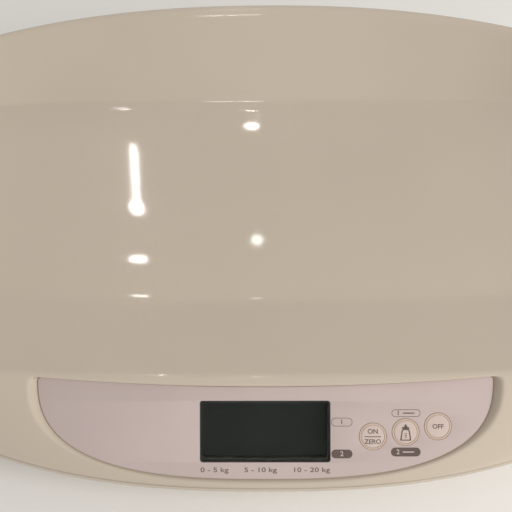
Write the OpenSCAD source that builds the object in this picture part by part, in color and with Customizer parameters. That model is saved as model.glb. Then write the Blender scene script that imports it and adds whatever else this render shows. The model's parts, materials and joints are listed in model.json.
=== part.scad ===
// Digital baby weighing scale: a cradle-shaped tray on a lower cover with four load-cell feet.
// Millimetres. +X runs along the tray, +Y to the high back wall, +Z up.
// The origin is on the ground under the middle of the scale.

/* [Overall] */
// Length of the tray from end to end
tray_length = 551; // [545:1:557]
// Depth from the front skirt to the back rim
tray_depth = 343; // [340:1:346]
// Height of the floor at the middle of the tray
floor_top = 47.6; // [47:0.1:48.2]
// Radius of the cradle curve along the tray, near its middle
cradle_r = 2040; // [1950:10:2150]
// How much more than that curve the floor would rise by the tray's ends
end_rise = 32.5; // [31.5:0.1:33.5]

/* [Shells] */
// Wall thickness of the tray
tray_wall = 2.8; // [2.6:0.1:3]
// Wall thickness of the lower cover
cover_wall = 2.5; // [2.3:0.1:2.6]
// Height of the lower cover's flat underside above the ground
ground_gap = 8.5; // [8.3:0.1:8.7]
// Visible seam between the two shells
seam = 0.8; // [0.6:0.1:1]

/* [Panel] */
// Slope of the panel
panel_tilt = 32.5; // [32:0.1:33]
// Length of the panel
panel_length = 240.8; // [236:0.2:244]
// Thickness of the panel plate
panel_t = 1.2; // [1.1:0.1:1.3]
// Length of the display window
window_w = 69.2; // [67:0.2:70]
// Height of the display window
window_h = 32.6; // [31.6:0.2:33]

/* [Keys] */
// Diameter of a key's cap
key_d = 13.6; // [13.2:0.1:13.8]
// Travel of a key
key_travel = 0.5; // [0.3:0.1:0.5]

/* [Feet] */
// Half the distance between the feet along the tray
foot_x = 145; // [142:1:146]
// Half the distance between the feet across the tray
foot_y = 78; // [76:1:80]
// Diameter of a foot
foot_d = 36; // [34:0.5:37]
// Diameter of the rubber pad under a foot
pad_d = 30; // [28:0.5:31]

/* [Batteries] */
// Diameter of a cell of size AA
cell_d = 14.2; // [14:0.1:14.4]
// Length of a cell with its button
cell_length = 50.5; // [50:0.1:50.6]
// Distance between neighbouring cells
cell_pitch = 14.8; // [14.7:0.1:15]

/* [Hidden] */
$fn = 64;
eps = 0.01;

ivory = [0.86, 0.82, 0.74];
blush = [0.87, 0.80, 0.77];
grey_plastic = [0.35, 0.35, 0.36];
steel = [0.68, 0.69, 0.71];
green_board = [0.12, 0.36, 0.22];

half_l = tray_length / 2;
half_d = tray_depth / 2;
window_size = [window_w, window_h];

// ---------------------------------------------------------------- curves and skins

function mix(a, b, t) = a + (b - a) * t;
function ease(t) = t * t * (3 - 2 * t);
function curve2(a, b, c, t) = (1 - t) * (1 - t) * a + 2 * t * (1 - t) * b + t * t * c;
function curve3(a, b, c, d, t) =
    pow(1 - t, 3) * a + 3 * t * pow(1 - t, 2) * b + 3 * t * t * (1 - t) * c + t * t * t * d;

// A value that is given at the front, the ends and the back, and eases between them
function around(phi, front, end, back) =
    mix(end, sin(phi) < 0 ? front : back, ease(min(1, 1.25 * abs(sin(phi)))));

// The smaller of two lengths, rounded where they cross
function soft_min(a, b) = let (sharp = 24) pow(pow(a, -sharp) + pow(b, -sharp), -1 / sharp);

// Every outline is a multiple of one ellipse-like ray at the angle phi
function ray(phi) = [half_l * cos(phi), half_d * sin(phi)];
function reach(phi, a, b, n) =
    pow(pow(abs(ray(phi).x) / a, n) + pow(abs(ray(phi).y) / b, n), -1 / n);

// The point at a distance along the ray, at a height
function spot(phi, p) = let (u = ray(phi) / norm(ray(phi))) [p[0] * u.x, p[0] * u.y, p[1]];

// The normal of a grid of points, grid[station][ring], pointing up and outwards
function normal_at(grid, j, i) =
    let (
        n = len(grid),
        last = len(grid[0]) - 1,
        outward = grid[j][min(i + 1, last)] - grid[j][max(i - 1, 0)],
        round = grid[(j + 1) % n][i] - grid[(j + n - 1) % n][i],
        c = cross(outward, round)
    ) c / norm(c);

// One ring of the grid, moved inwards along the normal
function ring_in(grid, i, t) =
    [for (j = [0 : len(grid) - 1]) grid[j][i] - t * normal_at(grid, j, i)];

// A closed solid through rings, the first and the last closed by a fan to a centre point
module ring_skin(start, rings, end) {
    n = len(rings[0]);
    points = concat([start], [for (r = rings) each r], [end]);
    top_fan = [for (j = [0 : n - 1]) [0, 1 + (j + 1) % n, 1 + j]];
    walls = [
        for (i = [0 : len(rings) - 2], j = [0 : n - 1])
            let (a = 1 + i * n + j, b = 1 + i * n + (j + 1) % n)
                each [[a, b, b + n], [a, b + n, a + n]]
    ];
    base = 1 + (len(rings) - 1) * n;
    last_fan = [for (j = [0 : n - 1]) [len(points) - 1, base + j, base + (j + 1) % n]];
    polyhedron(points, concat(top_fan, walls, last_fan));
}

// A round wire along points, with a ring at each
function tangent(path, i) =
    let (d = path[min(i + 1, len(path) - 1)] - path[max(i - 1, 0)]) d / norm(d);
function frames(path, i, side) =
    i == len(path) ? [] :
    let (t = tangent(path, i), flat = side - (side * t) * t, n = flat / norm(flat))
        concat([[n, cross(t, n)]], frames(path, i + 1, n));
function smooth_path(knots, steps) = [
    for (i = [0 : len(knots) - 2], s = [0 : steps - 1])
        let (
            t = s / steps,
            a = knots[max(i - 1, 0)], b = knots[i],
            c = knots[i + 1], d = knots[min(i + 2, len(knots) - 1)]
        ) 0.5 * (2 * b + (c - a) * t + (2 * a - 5 * b + 4 * c - d) * t * t
            + (3 * b - a - 3 * c + d) * t * t * t),
    knots[len(knots) - 1]
];
module wire(path, d, sides = 8, side = [0, 0, 1]) {
    f = frames(path, 0, side);
    ring_skin(
        path[0],
        [for (i = [0 : len(path) - 1]) [
            for (k = [0 : sides - 1])
                path[i] + d / 2 * (cos(360 * k / sides) * f[i][0] + sin(360 * k / sides) * f[i][1])
        ]],
        path[len(path) - 1]
    );
}

// ---------------------------------------------------------------- the tray's surface

segments = 80;
stations = [for (j = [0 : segments - 1]) 360 * j / segments];

outline_n = 2.37;
skirt_height = [26, 72, 62];      // front, ends, back
crest_y = 121.5;                  // where the front lip's two slopes would meet
crest_height = 61.7;
rim_y = 165.7;                    // the same for the back wall and its outside
rim_height = 94.6;
end_lip = 12.5;                   // the lip above the floor, at the ends
front_floor_y = 67.5;             // where the floor starts to rise to the front lip
back_floor_y = 103;               // and to the back wall
crest_n = 3.9;
rim_n = 2.27;
crease_n = 3.2;

function floor_z(x) = floor_top + x * x / (2 * cradle_r) + end_rise * pow(abs(x) / half_l, 5);

// The skirt's edge, the lip's corner and the floor's edge, as multiples of the ray
function skirt_k(phi) = reach(phi, half_l, half_d, outline_n);
function front_lip_k(phi) = soft_min(reach(phi, 300, crest_y, crest_n), 0.975 * skirt_k(phi));
function front_floor_k(phi) = soft_min(reach(phi, 270, front_floor_y, crest_n), 0.87 * skirt_k(phi));
function lip_k(phi) =
    sin(phi) < 0 ? front_lip_k(phi) : reach(phi, half_l * front_lip_k(0), rim_y, rim_n);
function floor_k(phi) =
    sin(phi) < 0 ? front_floor_k(phi) : reach(phi, half_l * front_floor_k(0), back_floor_y, crease_n);

// Heights that follow the distance x along the tray
function skirt_z(phi, x) =
    let (t = abs(x) / half_l)
        sin(phi) < 0 ? mix(skirt_height[0], skirt_height[1], pow(t, 3.5))
                     : mix(skirt_height[2], skirt_height[1], pow(t, 3));
function lip_z(phi, x) =
    let (end_x = half_l * front_lip_k(0), t = abs(x) / end_x)
        sin(phi) < 0 ? mix(crest_height, floor_z(end_x) + end_lip, pow(t, 5))
                     : mix(rim_height, floor_z(end_x) + end_lip, pow(t, 3.7));

// The rise from the floor to the lip: a fillet up to f, then straight
function rise(u, f) = (u < f ? u * u / (2 * f) : u - f / 2) / (1 - f / 2);

floor_steps = [0.12, 0.24, 0.37, 0.5, 0.62, 0.75, 0.88, 1];
wall_steps = [0.08, 0.16, 0.26, 0.42, 0.6, 0.8, 1];
roll_steps = [0.17, 0.34, 0.5, 0.66, 0.83, 1];
face_steps = [0.2, 0.4, 0.6, 0.78, 0.92, 1];

// The tray's upper and outer surface at one station, as [distance along the ray, height]
function tray_profile(phi) =
    let (
        length = norm(ray(phi)),
        ux = ray(phi).x / length,
        floor_r = length * floor_k(phi),
        lip_r = length * lip_k(phi),
        skirt_r = length * skirt_k(phi),
        fillet = around(phi, 0.06, 0.6, 0.08),
        wall_end = around(phi, 0.95, 0.76, 0.83),
        lip = [lip_r, lip_z(phi, lip_r * ux)],
        lift = lip[1] - floor_z(lip_r * ux),
        wall = [for (s = wall_steps) let (u = s * wall_end, r = mix(floor_r, lip_r, u))
            [r, floor_z(r * ux) + lift * rise(u, fillet)]],
        edge = [skirt_r, skirt_z(phi, skirt_r * ux)],
        chord = atan2(lip[1] - edge[1], edge[0] - lip[0]),
        bulge = sin(phi) < 0 ? 56 * pow(sin(phi) * cos(phi), 2) : 0,
        top_slope = chord - around(phi, 1.6, 5, 5) - bulge,
        end_slope = chord + around(phi, 26, 6, 6),
        shoulder = lip + around(phi, 5.5, 12, 14) * [cos(top_slope), -sin(top_slope)],
        span = norm(edge - shoulder),
        pull_a = shoulder + 0.5 * span * [cos(top_slope), -sin(top_slope)],
        pull_b = edge - 0.12 * span * [cos(end_slope), -sin(end_slope)]
    )
    concat(
        [for (s = floor_steps) [s * floor_r, floor_z(s * floor_r * ux)]],
        wall,
        [for (t = roll_steps) curve2(wall[len(wall) - 1], lip, shoulder, t)],
        [for (t = face_steps) curve3(shoulder, pull_a, pull_b, edge, t)]
    );

tray_grid = [for (phi = stations) [for (p = tray_profile(phi)) spot(phi, p)]];
tray_rings = len(tray_grid[0]);

// The skirt's edge moved inwards in plan, at its own height plus a rise
function edge_in(phi, inset, up) =
    let (r = norm(ray(phi)) * skirt_k(phi), p = spot(phi, [r, skirt_z(phi, r * ray(phi).x / norm(ray(phi)))]),
         q = plan_normal(phi)) [p.x - inset * q.x, p.y - inset * q.y, p.z + up];
function plan_normal(phi) =
    let (a = skirt_plan(phi - 1), b = skirt_plan(phi + 1), d = b - a) [d.y, -d.x] / norm(d);
function skirt_plan(phi) = ray(phi) * skirt_k(phi);

// Every other ring is enough for the hidden side
inner_rings = [1, 3, 5, 7, 9, 11, 13, 15, 17, 19, 21, 23, 25];

module tray_skin(wall) {
    outer = [for (i = [0 : tray_rings - 1]) [for (j = [0 : segments - 1]) tray_grid[j][i]]];
    edge = [[for (phi = stations) edge_in(phi, wall, 0)]];
    inner = [for (k = [len(inner_rings) - 1 : -1 : 0]) ring_in(tray_grid, inner_rings[k], wall)];
    ring_skin([0, 0, floor_top], concat(outer, edge, inner), [0, 0, floor_top - wall]);
}

// The space under the tray's skin, down to the skirt, for trimming what joins it from below
module under_skin(depth) {
    rings = [for (i = inner_rings) ring_in(tray_grid, i, depth)];
    edge = [[for (phi = stations) edge_in(phi, depth + 0.4, 0)]];
    ring_skin([0, 0, floor_top - depth], concat(rings, edge), [0, 0, 0]);
}

// ---------------------------------------------------------------- the panel and its recess

panel_y = -145.25;
panel_z = 43.2;
panel_ends_y = 29.6;              // in the panel's own plane, measured up the slope
panel_top_y = 24.2;
panel_bottom_y = -24.5;
panel_corner = 3;
panel_n = 2.7;
recess_gap = 0.3;
seat_t = 3;                       // thickness of the tray under the panel
window_centre = [0, 0.5];
key_spots = [[56.9, -2.1], [74.2, 0.2], [91.2, 3.2]];
key_hole_d = key_d + 0.8;
flange_d = key_d + 2.6;
flange_top = -1.5;                // below the panel's face
flange_t = 0.9;
stem_bottom = -5.2;
switch_floor = 1.4;               // inside a switch, above the board
board_top = -10;
board_t = 1.6;
board_posts = [[-43.5, 12.5], [-43.5, -12], [48, -13], [98, 12.5]];

// Puts things on the panel: z = 0 is its face, y runs up the slope
module on_panel() {
    translate([0, panel_y, panel_z]) rotate([panel_tilt, 0, 0]) children();
}

function crescent_outline() =
    let (a = panel_length / 2, drop = panel_ends_y - panel_bottom_y)
    concat(
        [for (t = [180 : 5 : 360])
            [a * sign(cos(t)) * pow(abs(cos(t)), 2 / panel_n),
             panel_ends_y - drop * pow(abs(sin(t)), 2 / panel_n)]],
        [for (s = [0.9 : -0.1 : -0.9]) [s * a, mix(panel_top_y, panel_ends_y, s * s)]]
    );
module crescent(grow = 0) {
    offset(r = panel_corner + grow, $fn = 24) offset(delta = -panel_corner) polygon(crescent_outline());
}

// The recess leans outwards at its ends and its lower edge, and hardly at all along the top
well_lean = 0.7;
module crescent_well(grow, from, top) {
    hinge_y = panel_top_y;
    half = panel_length / 2 + grow;
    drop = hinge_y - panel_bottom_y + grow;
    rise_up = well_lean * (top + panel_t);
    translate([0, hinge_y, from])
        linear_extrude(height = top - from, scale = [1 + rise_up / half, 1 + rise_up / drop], slices = 1, $fn = 0)
            translate([0, -hinge_y]) crescent(grow);
}
module rounded_plate(size, r, t) {
    linear_extrude(height = t) {
        for (x = [-1, 1], y = [-1, 1]) translate([x * (size.x / 2 - r), y * (size.y / 2 - r)]) circle(r);
        square([size.x - 2 * r, size.y], center = true);
        square([size.x, size.y - 2 * r], center = true);
    }
}
module at_window(z) {
    translate([window_centre.x, window_centre.y, z]) children();
}

// ---------------------------------------------------------------- heights inside

cover_floor = ground_gap + cover_wall;
cell_seat = 15;                   // underside of a load cell
cell_plate_t = 1.4;
sleeve_bore = 14;                 // the cover's sleeve round a foot's stem
sleeve_top = 12.4;
frame_bottom = 23;
frame_t = 1.6;
frame_top = frame_bottom + frame_t;
screw_spots = [for (x = [-1, 1]) each [[x * 60, -82], [x * 60, 82], [x * 154, -26], [x * 154, 26]]];
carrier_d = 50;
bay_length = cell_length + 6.7;   // inside, along the cells
bay_width = 4 * cell_pitch + 0.8;
bay_top = 26;
bay_wall = 2.4;
door_size = [bay_length + 6.2, bay_width + 6.4];
door_t = 2.6;
door_gap = 0.4;
door_seat = ground_gap + door_t + 0.1;
hinge_r = door_t / 2;             // the pins are on the door's rear edge
hinge_y = -door_size.y / 2 + hinge_r;
hinge_z = ground_gap + hinge_r;
hinge_pin_r = 0.8;
hinge_play = 0.1;

// ---------------------------------------------------------------- shells

module tray_shell() {
    color(ivory) difference() {
        union() {
            tray_skin(tray_wall);
            intersection() {
                under_skin(tray_wall / 2);
                on_panel() crescent_well(2.6, -panel_t - seat_t, 14);
            }
            on_panel() for (p = board_posts)
                translate([p.x, p.y, board_top]) cylinder(d = 6, h = -board_top - panel_t - 1);
            for (p = screw_spots)
                translate([p.x, p.y, frame_top])
                    cylinder(d = 9, h = floor_z(p.x) - tray_wall / 2 - frame_top);
        }
        on_panel() {
            crescent_well(recess_gap, -panel_t, 16);
            at_window(-panel_t - seat_t - 1) rounded_plate(window_size - [3, 3], 1.2, 6);
            for (p = key_spots) translate([p.x, p.y, 0]) {
                translate([0, 0, flange_top - flange_t - key_travel - 0.4]) cylinder(d = flange_d + 0.8, h = 3);
                translate([0, 0, -6]) cylinder(d = 7, h = 4);
            }
            for (p = board_posts) translate([p.x, p.y, board_top - 1]) cylinder(d = 2.1, h = 6.5);
        }
        for (p = screw_spots) translate([p.x, p.y, frame_top - 1]) cylinder(d = 3.5, h = 17);
    }
}

flat_half = [190, 118];           // the flat of the underside
flat_n = 4;
hull_steps = [0.12, 0.27, 0.43, 0.6, 0.78];

// The cover's outside from the seam down to the flat, as a curve in each ray's plane
function hull_point(phi, t) =
    let (
        top = edge_in(phi, 0.9, -seam),
        foot = ray(phi) * reach(phi, flat_half.x, flat_half.y, flat_n),
        bottom = [foot.x, foot.y, ground_gap],
        belly = [mix(bottom.x, top.x, 0.78), mix(bottom.y, top.y, 0.78), ground_gap + 0.08 * (top.z - ground_gap)]
    ) curve2(bottom, belly, top, t);
hull_grid = [for (phi = stations) [for (t = concat([0], hull_steps, [1])) hull_point(phi, t)]];

// A tongue stands up from the cover's edge inside the tray's skirt, and is low under the front slope
function tongue_outer(phi) = tray_wall + around(phi, 1, 0.6, 0.6);
function tongue_inner(phi) = tongue_outer(phi) + around(phi, 1, 2, 2);
function tongue_rise(phi) = around(phi, -0.5, 3, 3);

module cover_skin() {
    steps = len(hull_grid[0]);
    flat_in = [for (phi = stations)
        let (k = reach(phi, flat_half.x, flat_half.y, flat_n), p = ray(phi) * k) [p.x, p.y, cover_floor]];
    inner = [for (i = [2, 4]) [for (j = [0 : segments - 1])
        hull_grid[j][i] + cover_wall * normal_up(j, i)]];
    outer = [for (i = [steps - 1 : -1 : 0]) [for (j = [0 : segments - 1]) hull_grid[j][i]]];
    ring_skin(
        [0, 0, cover_floor],
        concat(
            [flat_in],
            inner,
            [[for (phi = stations) edge_in(phi, tongue_inner(phi), -seam - 1)]],
            [[for (phi = stations) edge_in(phi, tongue_inner(phi), tongue_rise(phi))]],
            [[for (phi = stations) edge_in(phi, tongue_outer(phi), tongue_rise(phi))]],
            [[for (phi = stations) edge_in(phi, tongue_outer(phi), -seam)]],
            outer
        ),
        [0, 0, ground_gap]
    );
}
function normal_up(j, i) = normal_at(hull_grid, j, i);

module bottom_cover() {
    bay_block = door_size + [2 * door_gap + 4, 2 * door_gap + 4];
    color(ivory) difference() {
        union() {
            cover_skin();
            for (p = screw_spots)
                translate([p.x, p.y, ground_gap + 1]) cylinder(d = 11, h = frame_bottom - ground_gap - 1);
            for (p = foot_spots)
                translate([p.x, p.y, ground_gap + 1]) cylinder(d = 20, h = sleeve_top - ground_gap - 1);
            translate([-bay_block.x / 2, -bay_block.y / 2, ground_gap + 1])
                cube([bay_block.x, bay_block.y, bay_top + bay_wall - ground_gap - 1]);
        }
        for (p = screw_spots) translate([p.x, p.y, 0]) {
            cylinder(d = 8, h = 14);
            cylinder(d = 4, h = 30);
        }
        for (p = foot_spots) translate([p.x, p.y, 0]) cylinder(d = sleeve_bore, h = 30);
        translate([-bay_length / 2, -bay_width / 2, 9]) cube([bay_length, bay_width, bay_top - 9]);
        translate([-door_size.x / 2 - door_gap, -door_size.y / 2 - door_gap, 0])
            cube([door_size.x + 2 * door_gap, door_size.y + 2 * door_gap, door_seat]);
        translate([-door_size.x / 2 - 3, hinge_y, hinge_z]) rotate([0, 90, 0])
            cylinder(r = hinge_pin_r + hinge_play, h = door_size.x + 6, $fn = 32);
        latch_pocket();
        translate([0, door_size.y / 2 + 5, ground_gap - 8.3]) sphere(d = 19);
    }
}
module latch_pocket() {
    translate([-9, bay_width / 2 - eps, door_seat - 1])
        cube([18, door_size.y / 2 + door_gap - bay_width / 2 + eps, 5.6]);
}

module battery_door() {
    color(ivory) difference() {
        union() {
            translate([-door_size.x / 2, hinge_y, ground_gap]) cube([door_size.x, door_size.y - hinge_r, door_t]);
            translate([-door_size.x / 2, hinge_y, hinge_z]) rotate([0, 90, 0])
                cylinder(r = hinge_r, h = door_size.x, $fn = 32);
            translate([-door_size.x / 2 - 2, hinge_y, hinge_z]) rotate([0, 90, 0])
                cylinder(r = hinge_pin_r, h = door_size.x + 4, $fn = 32);
            translate([-8, bay_width / 2 + 1, ground_gap + door_t - 0.5]) cube([16, 2, 4]);
        }
        for (i = [-3 : 3]) translate([i * 4 - 0.6, door_size.y / 2 - 12, ground_gap - 0.5]) cube([1.2, 8, 1]);
    }
}

// ---------------------------------------------------------------- panel parts

module panel_overlay() {
    color(blush) on_panel() difference() {
        translate([0, 0, -panel_t]) linear_extrude(height = panel_t) crescent();
        at_window(-2) rounded_plate(window_size, 1.5, 3);
        for (p = key_spots) translate([p.x, p.y, -2]) cylinder(d = key_hole_d, h = 3);
    }
}
module display_lens() {
    color([0.2, 0.22, 0.2]) on_panel() at_window(-panel_t)
        rounded_plate(window_size - [0.4, 0.4], 1.3, panel_t - 0.1);
}
module lcd_glass() {
    color([0.3, 0.34, 0.29]) on_panel() at_window(-6.6) {
        rounded_plate([72, 36], 0.5, 1.1);
        translate([0, 1, 1.1]) rounded_plate([72, 33], 0.5, 1.1);
    }
}
module lcd_holder() {
    color(grey_plastic) on_panel() at_window(board_top) difference() {
        rounded_plate([77, 41], 1.5, 5.7);
        translate([0, 0, -1]) rounded_plate([68, 31], 0.5, 8);
        translate([0, 0, 3.4]) rounded_plate([72.4, 36.4], 0.6, 8);
    }
}
module lcd_connectors() {
    color([0.85, 0.5, 0.55]) on_panel() at_window(board_top)
        for (y = [-13.5, 13.5]) translate([-31, y - 1, 0]) cube([62, 2, 3.4]);
}
module key(i) {
    p = key_spots[i];
    dome_r = 60;
    color(blush) on_panel() translate([p.x, p.y, 0]) {
        translate([0, 0, flange_top - flange_t]) cylinder(d = flange_d, h = flange_t);
        intersection() {
            translate([0, 0, flange_top - eps]) cylinder(d = key_d, h = 3);
            translate([0, 0, 0.65 - dome_r]) sphere(r = dome_r, $fn = 96);
        }
        translate([0, 0, stem_bottom]) cylinder(d = 6, h = flange_top - stem_bottom);
    }
}
module key_on_zero() { key(0); }
module key_feed() { key(1); }
module key_off() { key(2); }
module switch_plunger(i) {
    p = key_spots[i];
    bottom = board_top + switch_floor + key_travel + 0.2;
    color("black") on_panel() translate([p.x, p.y, bottom]) cylinder(d = 3.2, h = stem_bottom - bottom);
}
module tact_switches() {
    color([0.15, 0.15, 0.16]) on_panel() for (p = key_spots) translate([p.x, p.y, board_top]) difference() {
        translate([-3, -3, 0]) cube([6, 6, 3.4]);
        translate([0, 0, switch_floor]) cylinder(d = 3.6, h = 3);
    }
}
module circuit_board() {
    color(green_board) on_panel() translate([0, 0, board_top - board_t]) difference() {
        union() {
            translate([-39, -20, 0]) cube([78, 41, board_t]);
            linear_extrude(height = board_t)
                polygon([[-48, -16], [88, -16], [103, -6], [103, 17], [-48, 17]]);
        }
        for (p = board_posts) translate([p.x, p.y, -1]) cylinder(d = 2.6, h = 4);
    }
}
module board_chips() {
    under = board_top - board_t;
    on_panel() {
        color([0.1, 0.1, 0.11]) {
            translate([-6, 0, under - 1.6]) cube([12, 12, 1.6]);
            translate([-28, -1, under - 1.4]) cube([5, 6, 1.4]);
        }
        color("silver") translate([14, 4, under - 3.5]) cube([11, 4.6, 3.5]);
        color([0.15, 0.2, 0.35]) for (x = [60, 69]) translate([x, 4, under - 7]) cylinder(d = 6.3, h = 7);
        color("ivory") for (plug = [[-28, 12], [-6, 8], [16, 12]])
            translate([plug[0], plug_y - 2.5, under - plug_h]) cube([plug[1], 5, plug_h]);
    }
}
module board_screws() {
    under = board_top - board_t;
    color(steel) on_panel() for (p = board_posts) translate([p.x, p.y, 0]) {
        translate([0, 0, under - 1.5]) cylinder(d = 4.4, h = 1.5);
        translate([0, 0, under - 0.5]) cylinder(d = 2, h = 6);
    }
}

// ---------------------------------------------------------------- power

function cell_y(i) = (i - 1.5) * cell_pitch;
function cell_way(i) = i % 2 == 0 ? 1 : -1;
cell_z = door_seat + 0.4 + cell_d / 2;
contact_t = 0.5;
spring_length = bay_length - cell_length - 2 * contact_t;

module battery(i) {
    button = 1.3;
    translate([0, cell_y(i), cell_z]) scale_x(cell_way(i))
        translate([bay_length / 2 - contact_t - cell_length, 0, 0]) rotate([0, 90, 0]) {
            color([0.2, 0.25, 0.3]) cylinder(d = cell_d, h = cell_length - button);
            color("silver") translate([0, 0, cell_length - button]) cylinder(d = 5.4, h = button);
        }
}
module scale_x(way) {
    if (way < 0) mirror([1, 0, 0]) children();
    else children();
}
module battery_1() { battery(0); }
module battery_2() { battery(1); }
module battery_3() { battery(2); }
module battery_4() { battery(3); }

module contact_springs() {
    turns = 3.5;
    steps = 8;
    wire_d = 0.8;
    color("silver") for (i = [0 : 3]) translate([0, cell_y(i), cell_z]) scale_x(cell_way(i))
        translate([-bay_length / 2 + contact_t + wire_d / 2, 0, 0])
            wire([for (s = [0 : turns * steps])
                let (a = 360 * s / steps, t = s / (turns * steps), r = mix(4.6, 2.8, t))
                    [t * (spring_length - wire_d), r * cos(a), r * sin(a)]], wire_d, 6, [0, 1, 0]);
}
module contact_plates() {
    color("silver") for (side = [-1, 1]) for (i = [0 : 3])
        translate([side * (bay_length - contact_t) / 2, cell_y(i), cell_z])
            cube([contact_t, 11.5, 11.5], center = true);
}

// ---------------------------------------------------------------- weighing

foot_spots = [for (x = [-1, 1], y = [-1, 1]) [x * foot_x, y * foot_y]];

module load_frame() {
    window = [62, 120];
    color(steel) difference() {
        union() {
            translate([0, 0, frame_bottom]) rounded_plate([346, 204], 24, frame_t);
            for (x = [-1, 1], y = [-1, 1])
                translate([x * 90 - 47, y * 101.2 - 0.8, frame_bottom]) cube([94, frame_t, 9]);
        }
        translate([0, 0, frame_bottom - 1]) {
            rounded_plate([84, 86], 6, 4);
            for (x = [-1, 1]) translate([x * 95, 0, 0]) rounded_plate(window, 10, 4);
            for (p = screw_spots) translate([p.x, p.y, 0]) cylinder(d = 4.4, h = 4);
            for (p = foot_spots, s = [-1, 1]) translate([p.x, p.y + s * 20.6, 0]) cylinder(d = 3.2, h = 4);
        }
    }
}
module load_cell(i) {
    p = foot_spots[i];
    color(steel) translate([p.x, p.y, cell_seat]) difference() {
        union() {
            translate([-16, -16, 0]) cube([32, 32, cell_plate_t]);
            translate([-3, -14, cell_plate_t - eps]) cube([6, 5, 0.4]);
        }
        for (x = [-1, 1]) translate([x * 10 - 1.5, -9, -1]) cube([3, 20, 4]);
        translate([-11.5, 8, -1]) cube([23, 3, 4]);
    }
}
module cell_carrier(i) {
    p = foot_spots[i];
    lead_side = p.x > 0 ? -1 : 1;
    color(grey_plastic) translate([p.x, p.y, 0]) difference() {
        translate([0, 0, 12]) cylinder(d = carrier_d, h = frame_bottom - 12);
        translate([-16.2, -16.2, 11]) cube([32.4, 32.4, cell_seat + cell_plate_t - 11]);
        translate([-12, -14.6, 16]) cube([24, 26.6, 2.6]);
        for (s = [-1, 1]) translate([0, s * 20.6, 14]) cylinder(d = 2.5, h = 12);
        translate([lead_side * 21 - 5, -2, 11]) cube([10, 4, 3.9]);
    }
}
module foot(i) {
    p = foot_spots[i];
    stem_r = 6;
    catch_r = sleeve_bore / 2 + 0.5;     // keeps the foot in the sleeve when the scale is lifted
    color(grey_plastic) translate([p.x, p.y, 0]) difference() {
        rotate_extrude() polygon([
            [0, 1.2], [foot_d / 2 - 1.5, 1.2], [foot_d / 2, 2.7], [foot_d / 2, 4.6],
            [foot_d / 2 - 1.4, 6], [stem_r, 6], [stem_r, sleeve_top + 0.4], [catch_r, sleeve_top + 0.4],
            [catch_r, sleeve_top + 1], [stem_r, cell_seat - 0.6], [stem_r, cell_seat], [0, cell_seat]
        ]);
        cylinder(d = pad_d + 0.2, h = 2.4);
    }
}
module foot_pad(i) {
    p = foot_spots[i];
    color([0.12, 0.12, 0.12]) translate([p.x, p.y, 0]) rotate_extrude()
        polygon([[0, 0], [pad_d / 2 - 0.6, 0], [pad_d / 2, 0.6], [pad_d / 2, 2.4], [0, 2.4]]);
}

// ---------------------------------------------------------------- wires and fasteners

lead_d = 2.4;
supply_d = 1.6;
plug_y = -8.5;                    // the plugs on the board's underside
plug_h = 6;
plug_mouth = let (z = board_top - board_t - plug_h)
    [panel_y + plug_y * cos(panel_tilt) - z * sin(panel_tilt),
     panel_z + plug_y * sin(panel_tilt) + z * cos(panel_tilt)];

// From the sensors at the front right and the back right to the board; the left side mirrors them
front_lead = [[127, -78, 13.6], [118, -78, 13.4], [104, -88, 13], [84, -104, 13], [58, -122, 14.5],
    [38, -132, 14.5], [28, -138, 16], [24.5, plug_mouth.x, plug_mouth.y]];
back_lead = [[127, 78, 13.6], [121, 78, 13.5], [114, 76, 13.2], [106, 58, 13], [103, 20, 13], [101, -30, 13],
    [82, -84, 13], [56, -108, 13.5], [36, -122, 14.5], [23, -134, 16], [19.5, plug_mouth.x, plug_mouth.y]];
module cell_leads() {
    color([0.75, 0.75, 0.73]) for (way = [1, -1]) scale_x(way) {
        wire(smooth_path(front_lead, 4), lead_d);
        wire(smooth_path(back_lead, 4), lead_d);
    }
}

// From the battery bay's wall, up through the frame's opening and over its front edge to the board
bay_side = -door_size.x / 2 - door_gap - 2;
module battery_leads() {
    apart = 3;
    for (k = [0, 1]) color(k == 0 ? "red" : [0.1, 0.1, 0.1]) wire(smooth_path([
        [bay_side, -10, 22 - k * apart], [bay_side - 2 - k * apart, -12, 23.5 - k * apart],
        [-37 - k * apart, -22, 27.5], [-35 - k * apart, -42, 29], [-25 - k * apart, -80, 29],
        [-12 - k * apart, -108, 29], [-3 - k * apart, -128, 23], [-0.5 - k * apart, -139, 17.5],
        [-0.5 - k * apart, plug_mouth.x, plug_mouth.y]], 4), supply_d);
}

module screw(d, length, head_d, head_h) {
    translate([0, 0, -head_h / 2]) cylinder(d = d, h = length + head_h / 2);
    translate([0, 0, -head_h]) cylinder(d = head_d, h = head_h);
}
module case_screws() {
    color(steel) for (p = screw_spots) translate([p.x, p.y, 14]) screw(3.4, 25, 7, 2.4);
}
module frame_screws() {
    color(steel) for (p = foot_spots, s = [-1, 1])
        translate([p.x, p.y + s * 20.6, frame_top]) mirror([0, 0, 1]) screw(2.4, 9, 5, 1.8);
}

tray_shell();
bottom_cover();
panel_overlay();
display_lens();
lcd_glass();
lcd_holder();
lcd_connectors();
key_on_zero();
key_feed();
key_off();
switch_plunger(0);  // switch_plunger_1
switch_plunger(1);  // switch_plunger_2
switch_plunger(2);  // switch_plunger_3
tact_switches();
circuit_board();
board_chips();
board_screws();
battery_door();
battery_1();
battery_2();
battery_3();
battery_4();
contact_springs();
contact_plates();
load_frame();
load_cell(0);  // load_cell_1
load_cell(1);  // load_cell_2
load_cell(2);  // load_cell_3
load_cell(3);  // load_cell_4
cell_carrier(0);  // cell_carrier_1
cell_carrier(1);  // cell_carrier_2
cell_carrier(2);  // cell_carrier_3
cell_carrier(3);  // cell_carrier_4
foot(0);  // foot_1
foot(1);  // foot_2
foot(2);  // foot_3
foot(3);  // foot_4
foot_pad(0);  // foot_pad_1
foot_pad(1);  // foot_pad_2
foot_pad(2);  // foot_pad_3
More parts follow.
